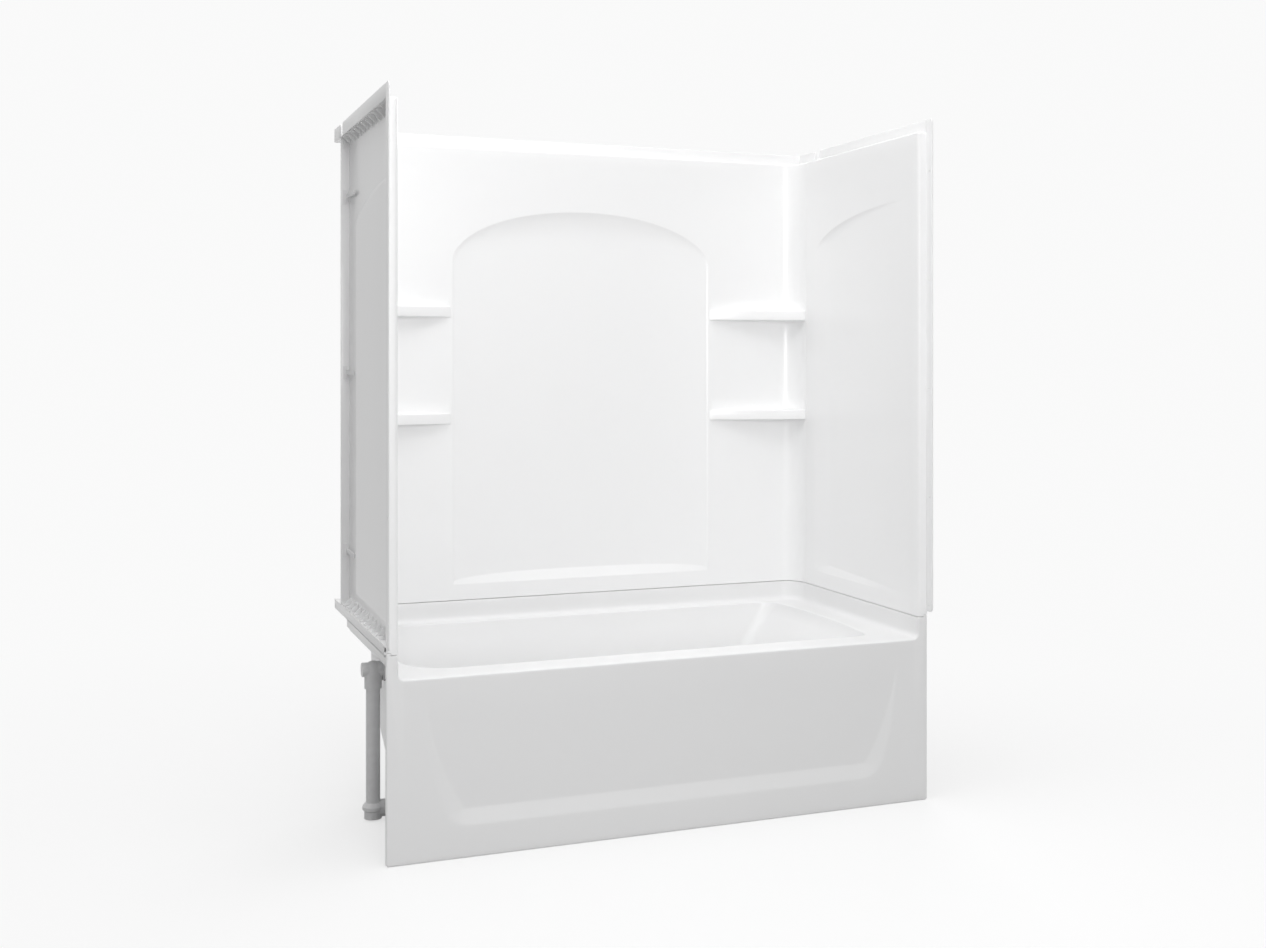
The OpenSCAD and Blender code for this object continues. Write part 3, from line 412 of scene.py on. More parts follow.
def basin_profile(slope, fillet, floor):
    """One side of the basin as inset and height: straight down the wall from its rolled
    edge, a fillet into the floor, and two steps along the floor. slope is the inset for
    each millimetre down."""
    top = np.array([0, RIM - EDGE])
    down = np.array([slope, -1]) / math.hypot(slope, 1)
    knee = np.array([slope * (RIM - EDGE - floor), floor])
    start = knee - down * fillet * math.tan(math.atan2(1, slope) / 2)
    centre = start + fillet * np.array([-down[1], down[0]])
    wall = [top + (start - top) * t for t in steps(0, 1, WALL_ROWS + 1)[:-1]]
    first = math.atan2(*(start - centre)[::-1])
    if first >= 0:
        first -= 2 * math.pi
    turn = [centre + fillet * np.array([math.cos(a), math.sin(a)])
            for a in steps(first, -math.pi / 2, FILLET_ROWS + 1)]
    return np.array(wall + turn + [turn[-1] + [run, 0] for run in FLOOR_RUN])


def tub_top():
    """The deck from the curb and the rim to the basin, the basin's rolled edge, its walls
    and its floor, as rings round one centre."""
    front_line = np.stack([DECK_X[1:-1], np.full(len(DECK_X) - 2, FRONT + EDGE)], axis=1)
    loop = np.concatenate([CURB[0][:, :2], front_line[::-1]])
    count = len(loop)
    centre = np.array([0.0, (FRONT + EDGE + ROOM_BACK - COVE) / 2])
    half = np.array([ROOM - COVE, (ROOM_BACK - COVE - FRONT - EDGE) / 2])
    relative = (loop - centre) / half
    direction = relative / np.abs(relative).max(axis=1, keepdims=True)
    rightness = smooth((direction[:, 0] - 0.86) / 0.14)
    leftness = smooth((-direction[:, 0] - 0.80) / 0.2)
    sides = basin_profile(SIDE_SLOPE, SIDE_FILLET, FLOOR)
    backrest = basin_profile(BACKREST_SLOPE, BACKREST_FILLET, FLOOR + FLOOR_RISE)
    drain = basin_profile(END_SLOPE, SIDE_FILLET, FLOOR)
    lean = np.interp(drain[:, 1], [FLOOR, 300, RIM], [50, 0, 0])
    drain[:, 0] += lean - END_SLOPE * (RIM - EDGE - drain[:, 1]).clip(0)
    radius = DRAIN_CORNER + (BACKREST_CORNER - DRAIN_CORNER) * smooth(direction[:, 0] + 0.5)

    def ring(inset_left, inset_right, inset_side, height, bow):
        """A row round the basin at its insets from the opening."""
        bounds = (BASIN["left"] + inset_left, BASIN["right"] - inset_right,
                  BASIN["front"] + inset_side, BASIN["back"] - inset_side)
        round_by = np.maximum(radius - 0.8 * max(inset_side, 0.0), LEAST_CORNER)
        plan = basin_ring(direction, bounds, round_by, bow)
        return np.column_stack([plan, height])

    outer = np.column_stack([loop, np.full(count, RIM)])
    opening = ring(-EDGE, -EDGE, -EDGE, np.full(count, RIM), BOW)
    rings = [outer + (opening - outer) * t for t in (0, 0.35, 0.7, 0.9)]
    for turn in np.radians(steps(0, 90, 7)):
        out = -EDGE * (1 - math.sin(turn))
        height = RIM - EDGE * (1 - math.cos(turn))
        rings.append(ring(out, out, out, np.full(count, height), BOW))
    for side, rest, end in zip(sides[1:], backrest[1:], drain[1:]):
        height = side[1] * (1 - rightness - leftness) + rest[1] * rightness + end[1] * leftness
        row = ring(end[0], rest[0], side[0], height, BOW * max(0.0, 1 - rest[0] / 420))
        deep = RIM - FLOOR - FLOOR_RISE * rightness
        row[:, 2] = RIM - (RIM - row[:, 2]) * (RIM - floor_height(row[:, 0])) / deep
        rings.append(row)
    flat = rings[-1]
    hub = np.array([HUB_X, BASIN["middle"], floor_height(HUB_X)])
    for t in (0.25, 0.5, 0.75, 0.94):
        inner = flat + (hub - flat) * [t, t, 0]
        inner[:, 2] = floor_height(inner[:, 0])
        rings.append(inner)
    return np.stack(rings), hub


def floor_height(x):
    """The floor is level round the drain and then rises towards the backrest."""
    return FLOOR + FLOOR_RISE * np.clip((x - LEVEL_X) / (RISE_X - LEVEL_X), 0, 1)


def upstand():
    """The upstand behind the walls, and the skirt below the ledge at the ends' front."""
    inner, outer = HALF - SHEET, HALF
    line_out = np.concatenate([
        [[-outer, UPSTAND_FRONT]], arc(-outer + 6, BACK - 6, 6, 180, 90, 5),
        arc(outer - 6, BACK - 6, 6, 90, 0, 5), [[outer, UPSTAND_FRONT]]])
    line_in = np.concatenate([
        [[inner, UPSTAND_FRONT]], arc(inner - 3, BACK - 7, 3, 0, 90, 5),
        arc(-inner + 3, BACK - 7, 3, 90, 180, 5), [[-inner, UPSTAND_FRONT]]])
    outline = np.concatenate([line_out, line_in])
    parts = [prism("upstand", outline, 2, LEDGE - SHEET, UPSTAND, 0.8)]
    for side in (-1, 1):
        x = sorted((side * inner, side * outer))
        skirt = rounded_outline((FRONT + 8, SKIRT), (SKIRT_BACK, LEDGE - 1), (0, 3, 0, 0))
        parts.append(prism("skirt", skirt, 0, *x, 0.8))
        ear = np.concatenate([ear_line(), [[-HALF, LEDGE - SHEET]]])
        parts.append(prism("ear", ear * [-side, 1], 1, FRONT + EDGE, EAR_BACK, 0))
    return parts


def pierce(piece, centre, axis, radius):
    """Cuts a round hole through a flat place of a sheet: 32 planes round the hole split
    the faces near it, and the faces inside go."""
    work = bmesh.new()
    work.from_mesh(piece.data)
    centre, radius = Vector(centre) * 0.001, radius * 0.001

    def near(reach):
        return [f for f in work.faces if abs(f.calc_center_median()[axis] - centre[axis]) < 1e-4
                and (f.calc_center_median() - centre).length < reach]

    for turn in np.radians(np.arange(32) * 11.25):
        way = [math.cos(turn), math.sin(turn)]
        way.insert(axis, 0.0)
        faces = near(radius + 0.06)
        edges = list({e for f in faces for e in f.edges})
        corners = list({v for f in faces for v in f.verts})
        bmesh.ops.bisect_plane(work, geom=corners + edges + faces, dist=1e-6, plane_no=way,
                               plane_co=centre + Vector(way) * radius)
    bmesh.ops.delete(work, geom=near(radius), context="FACES")
    work.to_mesh(piece.data)
    work.free()


def make_tub():
    """The tub: its front, curb, deck and basin in one sheet, and its upstand."""
    rounding, returns, middle, foot, outline, corner_foot = tub_front()
    top, hub = tub_top()
    up, down = [0, -2500, 3500], [0, -900, -900]
    parts = [grid_part(grid, towards) for grid, towards in (
        (CURB, up), (rounding, up), (middle, up), (foot, down), (corner_foot, down),
        (corner_foot * [-1, 1, 1], down), (returns, [-4000, FRONT, RIM]),
        (returns * [-1, 1, 1], [4000, FRONT, RIM]))]
    for side in (-1, 1):
        shape = outline * [-side, 1, 1]
        loop = np.arange(len(shape))
        turn = np.cross(shape[1:-1] - shape[0], shape[2:] - shape[0])[:, 1].sum()
        parts.append((shape, [loop if turn < 0 else loop[::-1]]))
    points, faces = grid_part(top, [0, 35, 2500], closed=True)
    last = len(points) - top.shape[1] + np.arange(top.shape[1])
    fan = np.stack([last, np.roll(last, -1), np.full(len(last), len(points))], axis=1)
    if np.cross(top[-1][0] - hub, top[-1][1] - hub)[2] < 0:
        fan = fan[:, ::-1]
    parts.append((np.concatenate([points, [hub]]), [*faces, *fan]))
    body = object_of("tub sheet", *merged(parts))
    pierce(body, (DRAIN_X, WASTE_Y, FLOOR), 2, DRAIN_RADIUS)
    pierce(body, (BASIN["left"], WASTE_Y, OVERFLOW_Z), 0, OVERFLOW_RADIUS)
    return joined("tub_moulding", [thicken(body), *upstand()])


# The back wall

ARCH_HALF, ARCH_SPRING, ARCH_TOP, ARCH_FOOT = 418.0, 1531.0, 1694.0, 563.0
ARCH_DEPTH, ARCH_STEP, ARCH_FALL, ARCH_SILL = 10.8, 1.2, 0.34, 29
SHELF_TOPS, SHELF_THICK = (1077.0, 1397.0), 32.0
SHELF_ROUNDING = {"cove": 9.0, "low": 3.0, "high": 3.5, "flat": 0.0}
PLAIN_Z = 1760.0


def arch_line(x):
    """Height of the arch over x, half an ellipse on the springing line."""
    return ARCH_SPRING + (ARCH_TOP - ARCH_SPRING) * np.sqrt(
        np.clip(1 - (x / ARCH_HALF) ** 2, 0, 1))


def arch_row_line(x):
    """The line that the rows of the mesh follow over x: the arch, eased at its ends."""
    return np.maximum(arch_line(x), ARCH_SPRING + 48)


def fall(distance, slope, depth):
    """Share of a depth at a distance in from the edge: with t = slope distance / (2.5
    depth) it is 1 - (1 - t)^2.5, a crease that fades out into the panel."""
    t = np.clip(slope * distance / (2.5 * np.maximum(depth, 0.05)), 0, 1)
    return 1 - (1 - t) ** 2.5


def foot_slope(z, depth, height, deepest):
    """Share of a depth over the plain slope at a panel's foot, which is the given height
    where the panel is deepest and lower as the root of its depth elsewhere."""
    return np.clip((z - ARCH_FOOT) / (height * np.sqrt(depth / deepest) + 0.5), 0, 1)


def back_recess(x, z):
    """Depth of the back wall's panel: 10.8 mm (1 - |x/418|^3) and a step of 1.2 mm at its
    sides, less towards the crease under the arch and the crease at the foot."""
    near = np.clip((ARCH_HALF - np.abs(x)) / 4, 0, 1)
    depth = ARCH_STEP * near + ARCH_DEPTH * np.clip(1 - np.abs(x / ARCH_HALF) ** 3, 0, 1)
    share = np.clip(np.abs(x) / ARCH_HALF, 0, 0.985)
    slope = (ARCH_TOP - ARCH_SPRING) / ARCH_HALF * share / np.sqrt(1 - share ** 2)
    upper = fall((arch_line(x) - z) / np.sqrt(1 + slope ** 2), ARCH_FALL, depth)
    return depth * np.minimum(upper, foot_slope(z, depth, ARCH_SILL, ARCH_DEPTH))


SHELF_TIP = -423.0
MIDDLE_X = spread([SHELF_TIP, -412, -398, 398, 412, -SHELF_TIP],
                  [1.4, 4.7, 13.3, 4.7, 1.4])[1:-1]


def corner_line():
    """The back wall's plan from the rounded seam edge to the tip of the shelf."""
    edge = arc(-ROOM - 5, SEAM + 5, 5, -90, 0, 5)
    turn = arc(-ROOM + ROOM_CORNER, ROOM_BACK - ROOM_CORNER, ROOM_CORNER, 180, 90, 15)[1:]
    run = spread([-ROOM + ROOM_CORNER, -483, SHELF_TIP], [15, 5])[1:]
    return edge, np.concatenate([turn, np.stack([run, np.full(len(run), ROOM_BACK)], axis=1)])


def along(points, shares):
    """Points at shares of the length along a line of points."""
    length = np.concatenate([[0], np.cumsum(np.linalg.norm(np.diff(points, axis=0), axis=1))])
    length /= length[-1]
    return np.stack([np.interp(shares, length, points[:, k]) for k in range(2)], axis=1)


def shelf_line(shares):
    """The shelf's front in plan, from the seam through its bend to its tip, at shares."""
    bend = (-HALF + 260, ROOM_BACK - 27)
    seam, tip = (-ROOM, SEAM + 5), (SHELF_TIP, ROOM_BACK)
    t = steps(0, 1, 60)[:, None]
    first = np.array(seam) + (np.array(bend) - seam) * 0.62
    last = np.array(bend) + (np.array(tip) - bend) * 0.62
    curve = (1 - t) ** 2 * first + 2 * t * (1 - t) * np.array(bend) + t ** 2 * last
    return along(np.concatenate([[seam], curve, [tip]]), shares)


def shelf_rows(top):
    """The rows over one shelf: the rounding that each belongs to, its share of that
    radius or of the way out from the wall, and its height with its share of the radius:
    under the shelf, its front and its top."""
    low = top - SHELF_THICK
    quarter = np.radians(steps(0, 90, 6))
    rows = [("cove", 1 - math.cos(a), low, -1 + math.sin(a)) for a in quarter[::2]]
    rows.append(("flat", 0.5, low, 0))
    rows += [("low", math.sin(a) - 1, low, 1 - math.cos(a)) for a in quarter]
    rows.append(("flat", 1, (low + top) / 2, 0))
    rows += [("high", math.cos(a) - 1, top, -1 + math.sin(a)) for a in quarter]
    rows.append(("flat", 0.5, top, 0))
    rows += [("cove", 1 - math.sin(a), top, 1 - math.cos(a)) for a in quarter[::2]]
    return rows


def wall_row(plan, heights, middle_z):
    """A row across the back wall: the drain side's line in plan at its heights, the panel
    at middle_z, and the line mirrored."""
    left = np.column_stack([plan, heights])
    centre = np.column_stack([MIDDLE_X, ROOM_BACK + back_recess(MIDDLE_X, middle_z), middle_z])
    return np.concatenate([left, centre, left[::-1] * [-1, 1, 1]])


def plain_row(height, middle_z=None):
    """A row that follows the wall at a height, and its panel at middle_z if given."""
    edge, rest = corner_line()
    plan = np.concatenate([edge, rest])
    if middle_z is None:
        middle_z = np.full(len(MIDDLE_X), height)
    return wall_row(plan, np.full(len(plan), height), middle_z)


def shelf_grid(top):
    """The wall's rows over one shelf: each point of the corner's line moves out to the
    shelf's line, and the roundings shrink with the shelf's reach towards its tip."""
    edge, rest = corner_line()
    corner = np.concatenate([edge[-1:], rest])
    length = np.concatenate([[0], np.cumsum(np.linalg.norm(np.diff(corner, axis=0), axis=1))])
    shelf = shelf_line(length / length[-1])
    reach = np.linalg.norm(shelf - corner, axis=1)
    reach[0] = 0.0
    outward = (shelf - corner) / np.maximum(reach, 1e-6)[:, None]
    near = smooth(reach / 2.5)
    listed = shelf_rows(top)
    rows = []
    for (kind, share, level, lift), even in zip(
            listed, steps(top - SHELF_THICK - 10, top + 10, len(listed))):
        radius = np.minimum(SHELF_ROUNDING[kind], reach / 2.6)
        out = radius * share
        if kind == "flat":
            out = reach * share
        elif kind != "cove":
            out = reach + out
        z = (level + radius * lift) * near + even * (1 - near)
        z[0] = even
        plan = np.concatenate([edge[:-1], corner + outward * out[:, None]])
        heights = np.concatenate([np.full(len(edge) - 1, even), z])
        rows.append(wall_row(plan, heights, np.full(len(MIDDLE_X), even)))
    return rows


def crown_rows(plan, away):
    """The rounded top edge of a wall: a quarter turn of CROWN from its top row."""
    return [np.column_stack([plan + away * CROWN * (1 - math.cos(a)),
                             np.full(len(plan), WALL_TOP + CROWN * (math.sin(a) - 1))])
            for a in np.radians(steps(0, 90, 5))[1:]]


def make_back_wall():
    """The back wall as rows up the wall, each a line in plan, which step out along the
    shelves and sink into the arched panel."""
    low, high = SHELF_TOPS
    rows = [plain_row(z) for z in spread(
        [LEDGE + SILL_GAP, 560, 596, 640, 1036], [9, 1.5, 11, 33])[:-1]]
    rows += shelf_grid(low)
    rows += [plain_row(z) for z in spread([low + 10, high - 42], [30])[1:-1]]
    rows += shelf_grid(high)
    base = ARCH_SPRING - 20
    rows += [plain_row(z) for z in spread([high + 10, base], [26])[1:]]
    line = arch_row_line(MIDDLE_X)
    for t in steps(0, 1, 11)[1:-1]:
        rows.append(plain_row(base + t * 60, base + t * (line - 16 - base)))
    for k, drop in enumerate(steps(-16, 5, 15)):
        rows.append(plain_row(base + 62 + k * 2, line + drop))
    start = base + 62 + 28
    for t in (0.2, 0.5, 0.8):
        rows.append(plain_row(start + t * (PLAIN_Z - start),
                              line + 5 + t * (PLAIN_Z - line - 5)))
    rows += [plain_row(z) for z in spread([PLAIN_Z, WALL_TOP - CROWN], [28])]
    plan = rows[-1][:, :2]
    rows += crown_rows(plan, offset_direction(plan))
    in_corner = plan[:, 1] < ROOM_BACK - ROOM_CORNER + 1
    for out in (18, 28.5):
        x = np.where(in_corner, ROOM + out,
                     np.minimum(np.abs(plan[:, 0]) * (ROOM + out) / ROOM, ROOM + out))
        y = np.where(in_corner, plan[:, 1],
                     np.where(plan[:, 1] >= ROOM_BACK - 0.5, ROOM_BACK, plan[:, 1]) + out)
        rows.append(np.column_stack([np.sign(plan[:, 0]) * x, y,
                                     np.full(len(plan), WALL_TOP)]))
    parts = [sheet("back sheet", np.stack(rows), [0, -300, 1200])]
    return joined("back_wall_moulding", parts + wall_flanges())


def offset_direction(plan):
    """The direction away from the room along a line in plan, square to the line."""
    ahead = np.gradient(plan, axis=0)
    return unit(np.stack([-ahead[:, 1], ahead[:, 0]], axis=1))


def wall_flanges():
    """The back wall's flanges: the seam flanges, the lower ledge and the nailing flange."""
    parts = []
    for side in (-1, 1):
        x = sorted((side * (ROOM + 4.5), side * (ROOM + 28)))
        outline = rounded_outline((x[0], UPSTAND), (x[1], WALL_TOP - 1), (0, 0, 0, 0))
        parts.append(prism("seam flange", outline, 1, SEAM, SEAM + SHEET, 0.8))
        x = sorted((side * (HALF - SHEET), side * HALF))
        outline = rounded_outline((BACK - FLANGE_STOP + FLANGE_GAP, WALL_TOP - SHEET),
                                  (BACK - 1, FLANGE_TOP), (0, 0, 0, FLANGE_CORNER))
        parts.append(prism("flange end", outline, 0, *x, 1))
    across, back = ROOM - ROOM_CORNER, ROOM_BACK - ROOM_CORNER
    inner = np.concatenate([[[ROOM + 2, SEAM + 1]],
                            arc(across, back, ROOM_CORNER + 2, 0, 90, 8),
                            arc(-across, back, ROOM_CORNER + 2, 90, 180, 8),
                            [[-ROOM - 2, SEAM + 1]]])
    outer = [[-HALF, SEAM + 1], [-HALF, BACK], [HALF, BACK], [HALF, SEAM + 1]]
    parts.append(prism("lower ledge", np.concatenate([inner, outer]), 2,
                       BEARING - SHEET, BEARING, 0.8))
    outline = rounded_outline((-HALF, WALL_TOP - SHEET), (HALF, FLANGE_TOP), (0, 0, 0, 0))
    parts.append(prism("nailing flange", outline, 1, BACK - SHEET, BACK, 1))
    return parts


# The end walls

SIDE_FRONT, SIDE_REAR, SIDE_DEEPEST = -284.0, 241.0, 151.0
SIDE_SPRING, SIDE_DEPTH, SIDE_FALL, SIDE_SILL = 1565.0, 7.0, 0.45, 26
RETURN_EDGE, RETURN_X = 9.0, (1.0, 12.2, 13.0)
RIBS, RIB_START, RIB_PITCH, RIB_SIZE = 11, 94, 54, 24
NAILS, NAIL_START, NAIL_PITCH, NAIL_RADIUS = 5, 547.0, 304.8, 2.4


def side_arch(y):
    """Height of the end wall's half arch over a depth: a quarter of an ellipse that rises
    towards the front."""
    share = np.clip((y - SIDE_FRONT) / (SIDE_REAR - SIDE_FRONT), 0, 1)
    return SIDE_SPRING + (ARCH_TOP - SIDE_SPRING) * np.sqrt(1 - share ** 2)


def side_recess(y, z):
    """Depth of the end wall's panel: from nothing at the front to 7 mm near its rear and
    quickly back, less towards the creases under the half arch and at the foot."""
    fine = steps(-400, 400, 801)
    line = np.interp(fine, [SIDE_FRONT, SIDE_DEEPEST, SIDE_REAR], [0, SIDE_DEPTH, 0])
    kernel = np.hanning(31)
    depth = np.interp(y, fine, np.convolve(line, kernel / kernel.sum(), "same"))
    length = SIDE_REAR - SIDE_FRONT
    share = np.clip((y - SIDE_FRONT) / length, 0, 0.985)
    slope = (ARCH_TOP - SIDE_SPRING) / length * share / np.sqrt(1 - share ** 2)
    upper = fall((side_arch(y) - z) / np.sqrt(1 + slope ** 2), SIDE_FALL, depth)
    return depth * np.minimum(upper, foot_slope(z, depth, SIDE_SILL, SIDE_DEPTH))


def end_sheet():
    """The end wall's sheet as rows up the wall: its front return, its rounded front edge
    and its inner face, with the half arch sunk in."""
    front = np.array([[-HALF + d, FRONT] for d in RETURN_X])
    turn = arc(-ROOM - RETURN_EDGE, FRONT + RETURN_EDGE, RETURN_EDGE, -90, 0, 7)
    lead = np.concatenate([front, turn])
    y = spread([FRONT + RETURN_EDGE, SIDE_FRONT, SIDE_DEEPEST - 30, SIDE_REAR + 20,
                SEAM - SEAM_GAP], [15, 16, 6, 10])[1:]

    def row(height, middle_z=None):
        """A row across the wall at a height, which follows middle_z along the sheet."""
        z = np.full(len(y), height) if middle_z is None else middle_z
        return np.concatenate([np.column_stack([lead, np.full(len(lead), height)]),
                               np.column_stack([-ROOM - side_recess(y, z), y, z])])

    line = np.maximum(side_arch(y), SIDE_SPRING + 44)
    base = SIDE_SPRING - 30
    rows = [row(z) for z in spread([LEDGE + SILL_GAP, 560, 596, 640, base],
                                   [9, 1.5, 11, 38])]
    rows[0][:2, 2] = EAR + SEAM_GAP
    for t in (0.2, 0.4, 0.6, 0.8, 0.92):
        rows.append(row(base + t * 64, base + t * (line - 12 - base)))
    for k, drop in enumerate(steps(-12, 5, 12)):
        rows.append(row(base + 66 + k * 2, line + drop))
    start = base + 66 + 22
    for t in (0.3, 0.65):
        rows.append(row(start + t * (PLAIN_Z - start), line + 5 + t * (PLAIN_Z - line - 5)))
    rows += [row(z) for z in spread([PLAIN_Z, WALL_TOP - CROWN], [38])]
    plan = rows[-1][:, :2]
    away = offset_direction(plan)
    away = np.where(away[:, :1] > 0, -away, away)
    away[0] = [0, 1]
    rows += crown_rows(plan, away)
    cap = rows[-1].copy()
    cap[:, 0] = -HALF + 1.5
    return sheet("end sheet", np.stack([*rows, cap]), [0, -1500, 1200])


def make_end_wall(side):
    """An end wall: its sheet, the ledge, the ribs and the nailing flange with its holes."""
    front = rounded_outline((FRONT - 30, UPSTAND - 2), (FRONT + 4, FLANGE_TOP),
                            (FLANGE_CORNER, 0, 0, FLANGE_CORNER))
    top = rounded_outline((FRONT + 4, WALL_TOP - SHEET), (BACK - FLANGE_STOP, FLANGE_TOP),
                          (0, 0, FLANGE_CORNER, 0))
    ledge = rounded_outline((-HALF, FRONT + 3), (-ROOM - 2, SEAM - SEAM_GAP), (0, 0, 0, 0))
    parts = [end_sheet(), nail_flange(front),
             prism("top flange", top, 0, -HALF, -HALF + SHEET, 1),
             prism("lower ledge", ledge, 2, BEARING - SHEET, BEARING, 0.8)]
    near, far = -ROOM - 3.5, -ROOM - 28
    for height, way in ((WALL_TOP - SHEET, -1), (BEARING, 1)):
        outline = [[near, height], [near, height + way * RIB_SIZE],
                   [far, height + way * 1.5], [far, height]]
        for k in range(RIBS):
            at = FRONT + RIB_START + RIB_PITCH * k
            parts.append(prism("rib", outline, 1, at, at + 3, 0.5))
    piece = joined("left_end_moulding" if side < 0 else "right_end_moulding", parts)
    if side > 0:
        mirror(piece)
    return piece


def nail_flange(outline):
    """The front nailing flange, a plate with round nail holes cut through it."""
    plate = prism("nail flange", outline, 0, -HALF, -HALF + SHEET, 1)
    for k in range(NAILS):
        around = arc(FRONT - 17, NAIL_START + NAIL_PITCH * k, NAIL_RADIUS, 0, 360, 25)[:-1]
        drill = prism("drill", around, 0, -HALF - 3, -HALF + SHEET + 3, 0)
        cut = plate.modifiers.new("hole", "BOOLEAN")
        cut.operation = "DIFFERENCE"
        cut.solver = "EXACT"
        cut.object = drill
        plate = joined("nail flange", [plate])
        bpy.data.objects.remove(drill)
    return plate


def mirror(piece):
    """Mirrors a piece's mesh in X and turns its faces back out."""
    work = bmesh.new()
    work.from_mesh(piece.data)
    for v in work.verts:
        v.co.x = -v.co.x
    bmesh.ops.reverse_faces(work, faces=work.faces)
    work.to_mesh(piece.data)
    work.free()


# Materials

class Value:
    """A socket in a node tree that sums and products can be written with."""

    def __init__(self, tree, socket):
        self.tree, self.socket = tree, socket

    def _math(self, operation, other):
        return self.tree.node("ShaderNodeMath", {"operation": operation}, [self, other])

    def __add__(self, other):
        return self._math("ADD", other)

    def __mul__(self, other):
        return self._math("MULTIPLY", other)

    __radd__ = __add__
    __rmul__ = __mul__


class Tree:
    """A node tree and what is built in it."""

    def __init__(self, tree):
        self.nodes, self.links = tree.nodes, tree.links

    def put(self, socket, value):
        """Links a value into a socket, or sets the socket to a number or a colour."""
        if isinstance(value, Value):
            self.links.new(value.socket, socket)
        elif isinstance(value, tuple):
            socket.default_value = (*value, 1) if len(socket.default_value) == 4 else value
        else:
            socket.default_value = value

    def node(self, kind, settings, inputs, output=0):
        """A node of a kind, its settings first and then its inputs by place or name."""
        made = self.nodes.new(kind)
        for key, value in settings.items():
            setattr(made, key, value)
        listed = inputs.items() if isinstance(inputs, dict) else enumerate(inputs)
        for place, value in listed:
            self.put(made.inputs[place], value)
        return Value(self, made.outputs[output])

    def mix(self, share, first, second):
        """A colour between two, by a share from 0 to 1."""
        return self.node("ShaderNodeMix", {"data_type": "RGBA"},
                         {0: share, 6: first, 7: second}, 2)

    def seen_directly(self):
        """1 for what the camera sees, also in a reflection or through glass, and else 0."""
        seen = self.node("ShaderNodeLightPath", {}, [], "Is Camera Ray")
        for ray in ("Is Glossy Ray", "Is Transmission Ray"):
            other = self.node("ShaderNodeLightPath", {}, [], ray)
            seen = self.node("ShaderNodeMath", {"operation": "MAXIMUM"}, [seen, other])
        return seen


class Finish(Tree):
    """A material with its shader's sockets set."""

    def __init__(self, name, **sockets):
        self.material = bpy.data.materials.new(name)
        self.material.use_nodes = True
        super().__init__(self.material.node_tree)
        self.shader = self.nodes["Principled BSDF"]
        for socket, value in sockets.items():
            self.put(self.shader.inputs[socket.replace("_", " ")], value)

    def noise(self, scale, detail):
        """Noise from 0 to 1 on object coordinates, scale to a metre."""
        where = self.node("ShaderNodeTexCoord", {}, [], "Object")
        return self.node("ShaderNodeTexNoise", {},
                         {"Vector": where, "Scale": float(scale), "Detail": float(detail)})

    def bump(self, height, depth, strength):
        """Raises the surface by height times depth in metres."""
        made = self.node("ShaderNodeBump", {},
                         {"Strength": strength, "Distance": depth, "Height": height})
        self.put(self.shader.inputs["Normal"], made)


def white_moulding(name, tone):
    """Glossy white sheet, a little uneven in tone, with a fine grain in its gloss."""
    finish = Finish(name, IOR=1.5, Coat_Weight=0.2, Coat_Roughness=0.06)
    cloud = finish.noise(1.8, 2)
    grain = finish.noise(700, 2)
    finish.put(finish.shader.inputs["Base Color"],
               finish.mix(cloud, (tone - 0.014, tone - 0.013, tone - 0.010), (tone,) * 3))
    finish.put(finish.shader.inputs["Roughness"], grain * 0.06 + 0.27)
    finish.bump(grain, 0.00003, 0.4)
    return finish.material


def pipe_plastic(name, colour, rough=0.42):
    """Moulded pipe plastic, slightly mottled."""
    finish = Finish(name)
    cloud = finish.noise(60, 3)
    grain = finish.noise(900, 2)
    darker = tuple(c * 0.86 for c in colour)
    finish.put(finish.shader.inputs["Base Color"], finish.mix(cloud, darker, colour))
    finish.put(finish.shader.inputs["Roughness"], cloud * 0.12 + rough)
    finish.bump(grain, 0.0002, 0.35)
    return finish.material


def bright_metal(name, colour, rough):
    """Metal with fine pits from its polish."""
    finish = Finish(name, Metallic=1.0)
    cloud = finish.noise(40, 3)
    pits = finish.noise(600, 2)
    darker = tuple(c * 0.9 for c in colour)
    finish.put(finish.shader.inputs["Base Color"], finish.mix(cloud, darker, colour))
    finish.put(finish.shader.inputs["Roughness"], pits * 0.08 + rough)
    finish.bump(pits, 0.00005, 0.3)
    return finish.material


def gasket_rubber():
    """Dull black rubber with a fine grain."""
    finish = Finish("gasket rubber")
    cloud = finish.noise(50, 3)
    grain = finish.noise(1500, 2)
    finish.put(finish.shader.inputs["Base Color"],
               finish.mix(cloud, (0.018, 0.018, 0.019), (0.035, 0.035, 0.036)))
    finish.put(finish.shader.inputs["Roughness"], cloud * 0.15 + 0.65)
    finish.bump(grain, 0.0003, 0.4)
    return finish.material


# The pieces

tub = make_tub()
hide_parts("tub")
back_wall = make_back_wall()
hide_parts("back_wall")
left_end = make_end_wall(-1)
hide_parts("left_end_wall")
right_end = make_end_wall(1)
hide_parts("right_end_wall")

tub_white = white_moulding("tub white", 0.86)
wall_white = white_moulding("wall white", 0.945)
for piece in (tub, back_wall, left_end, right_end):
    piece.data.materials.clear()
    piece.data.materials.append(tub_white if piece is tub else wall_white)
    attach(piece, "surround")

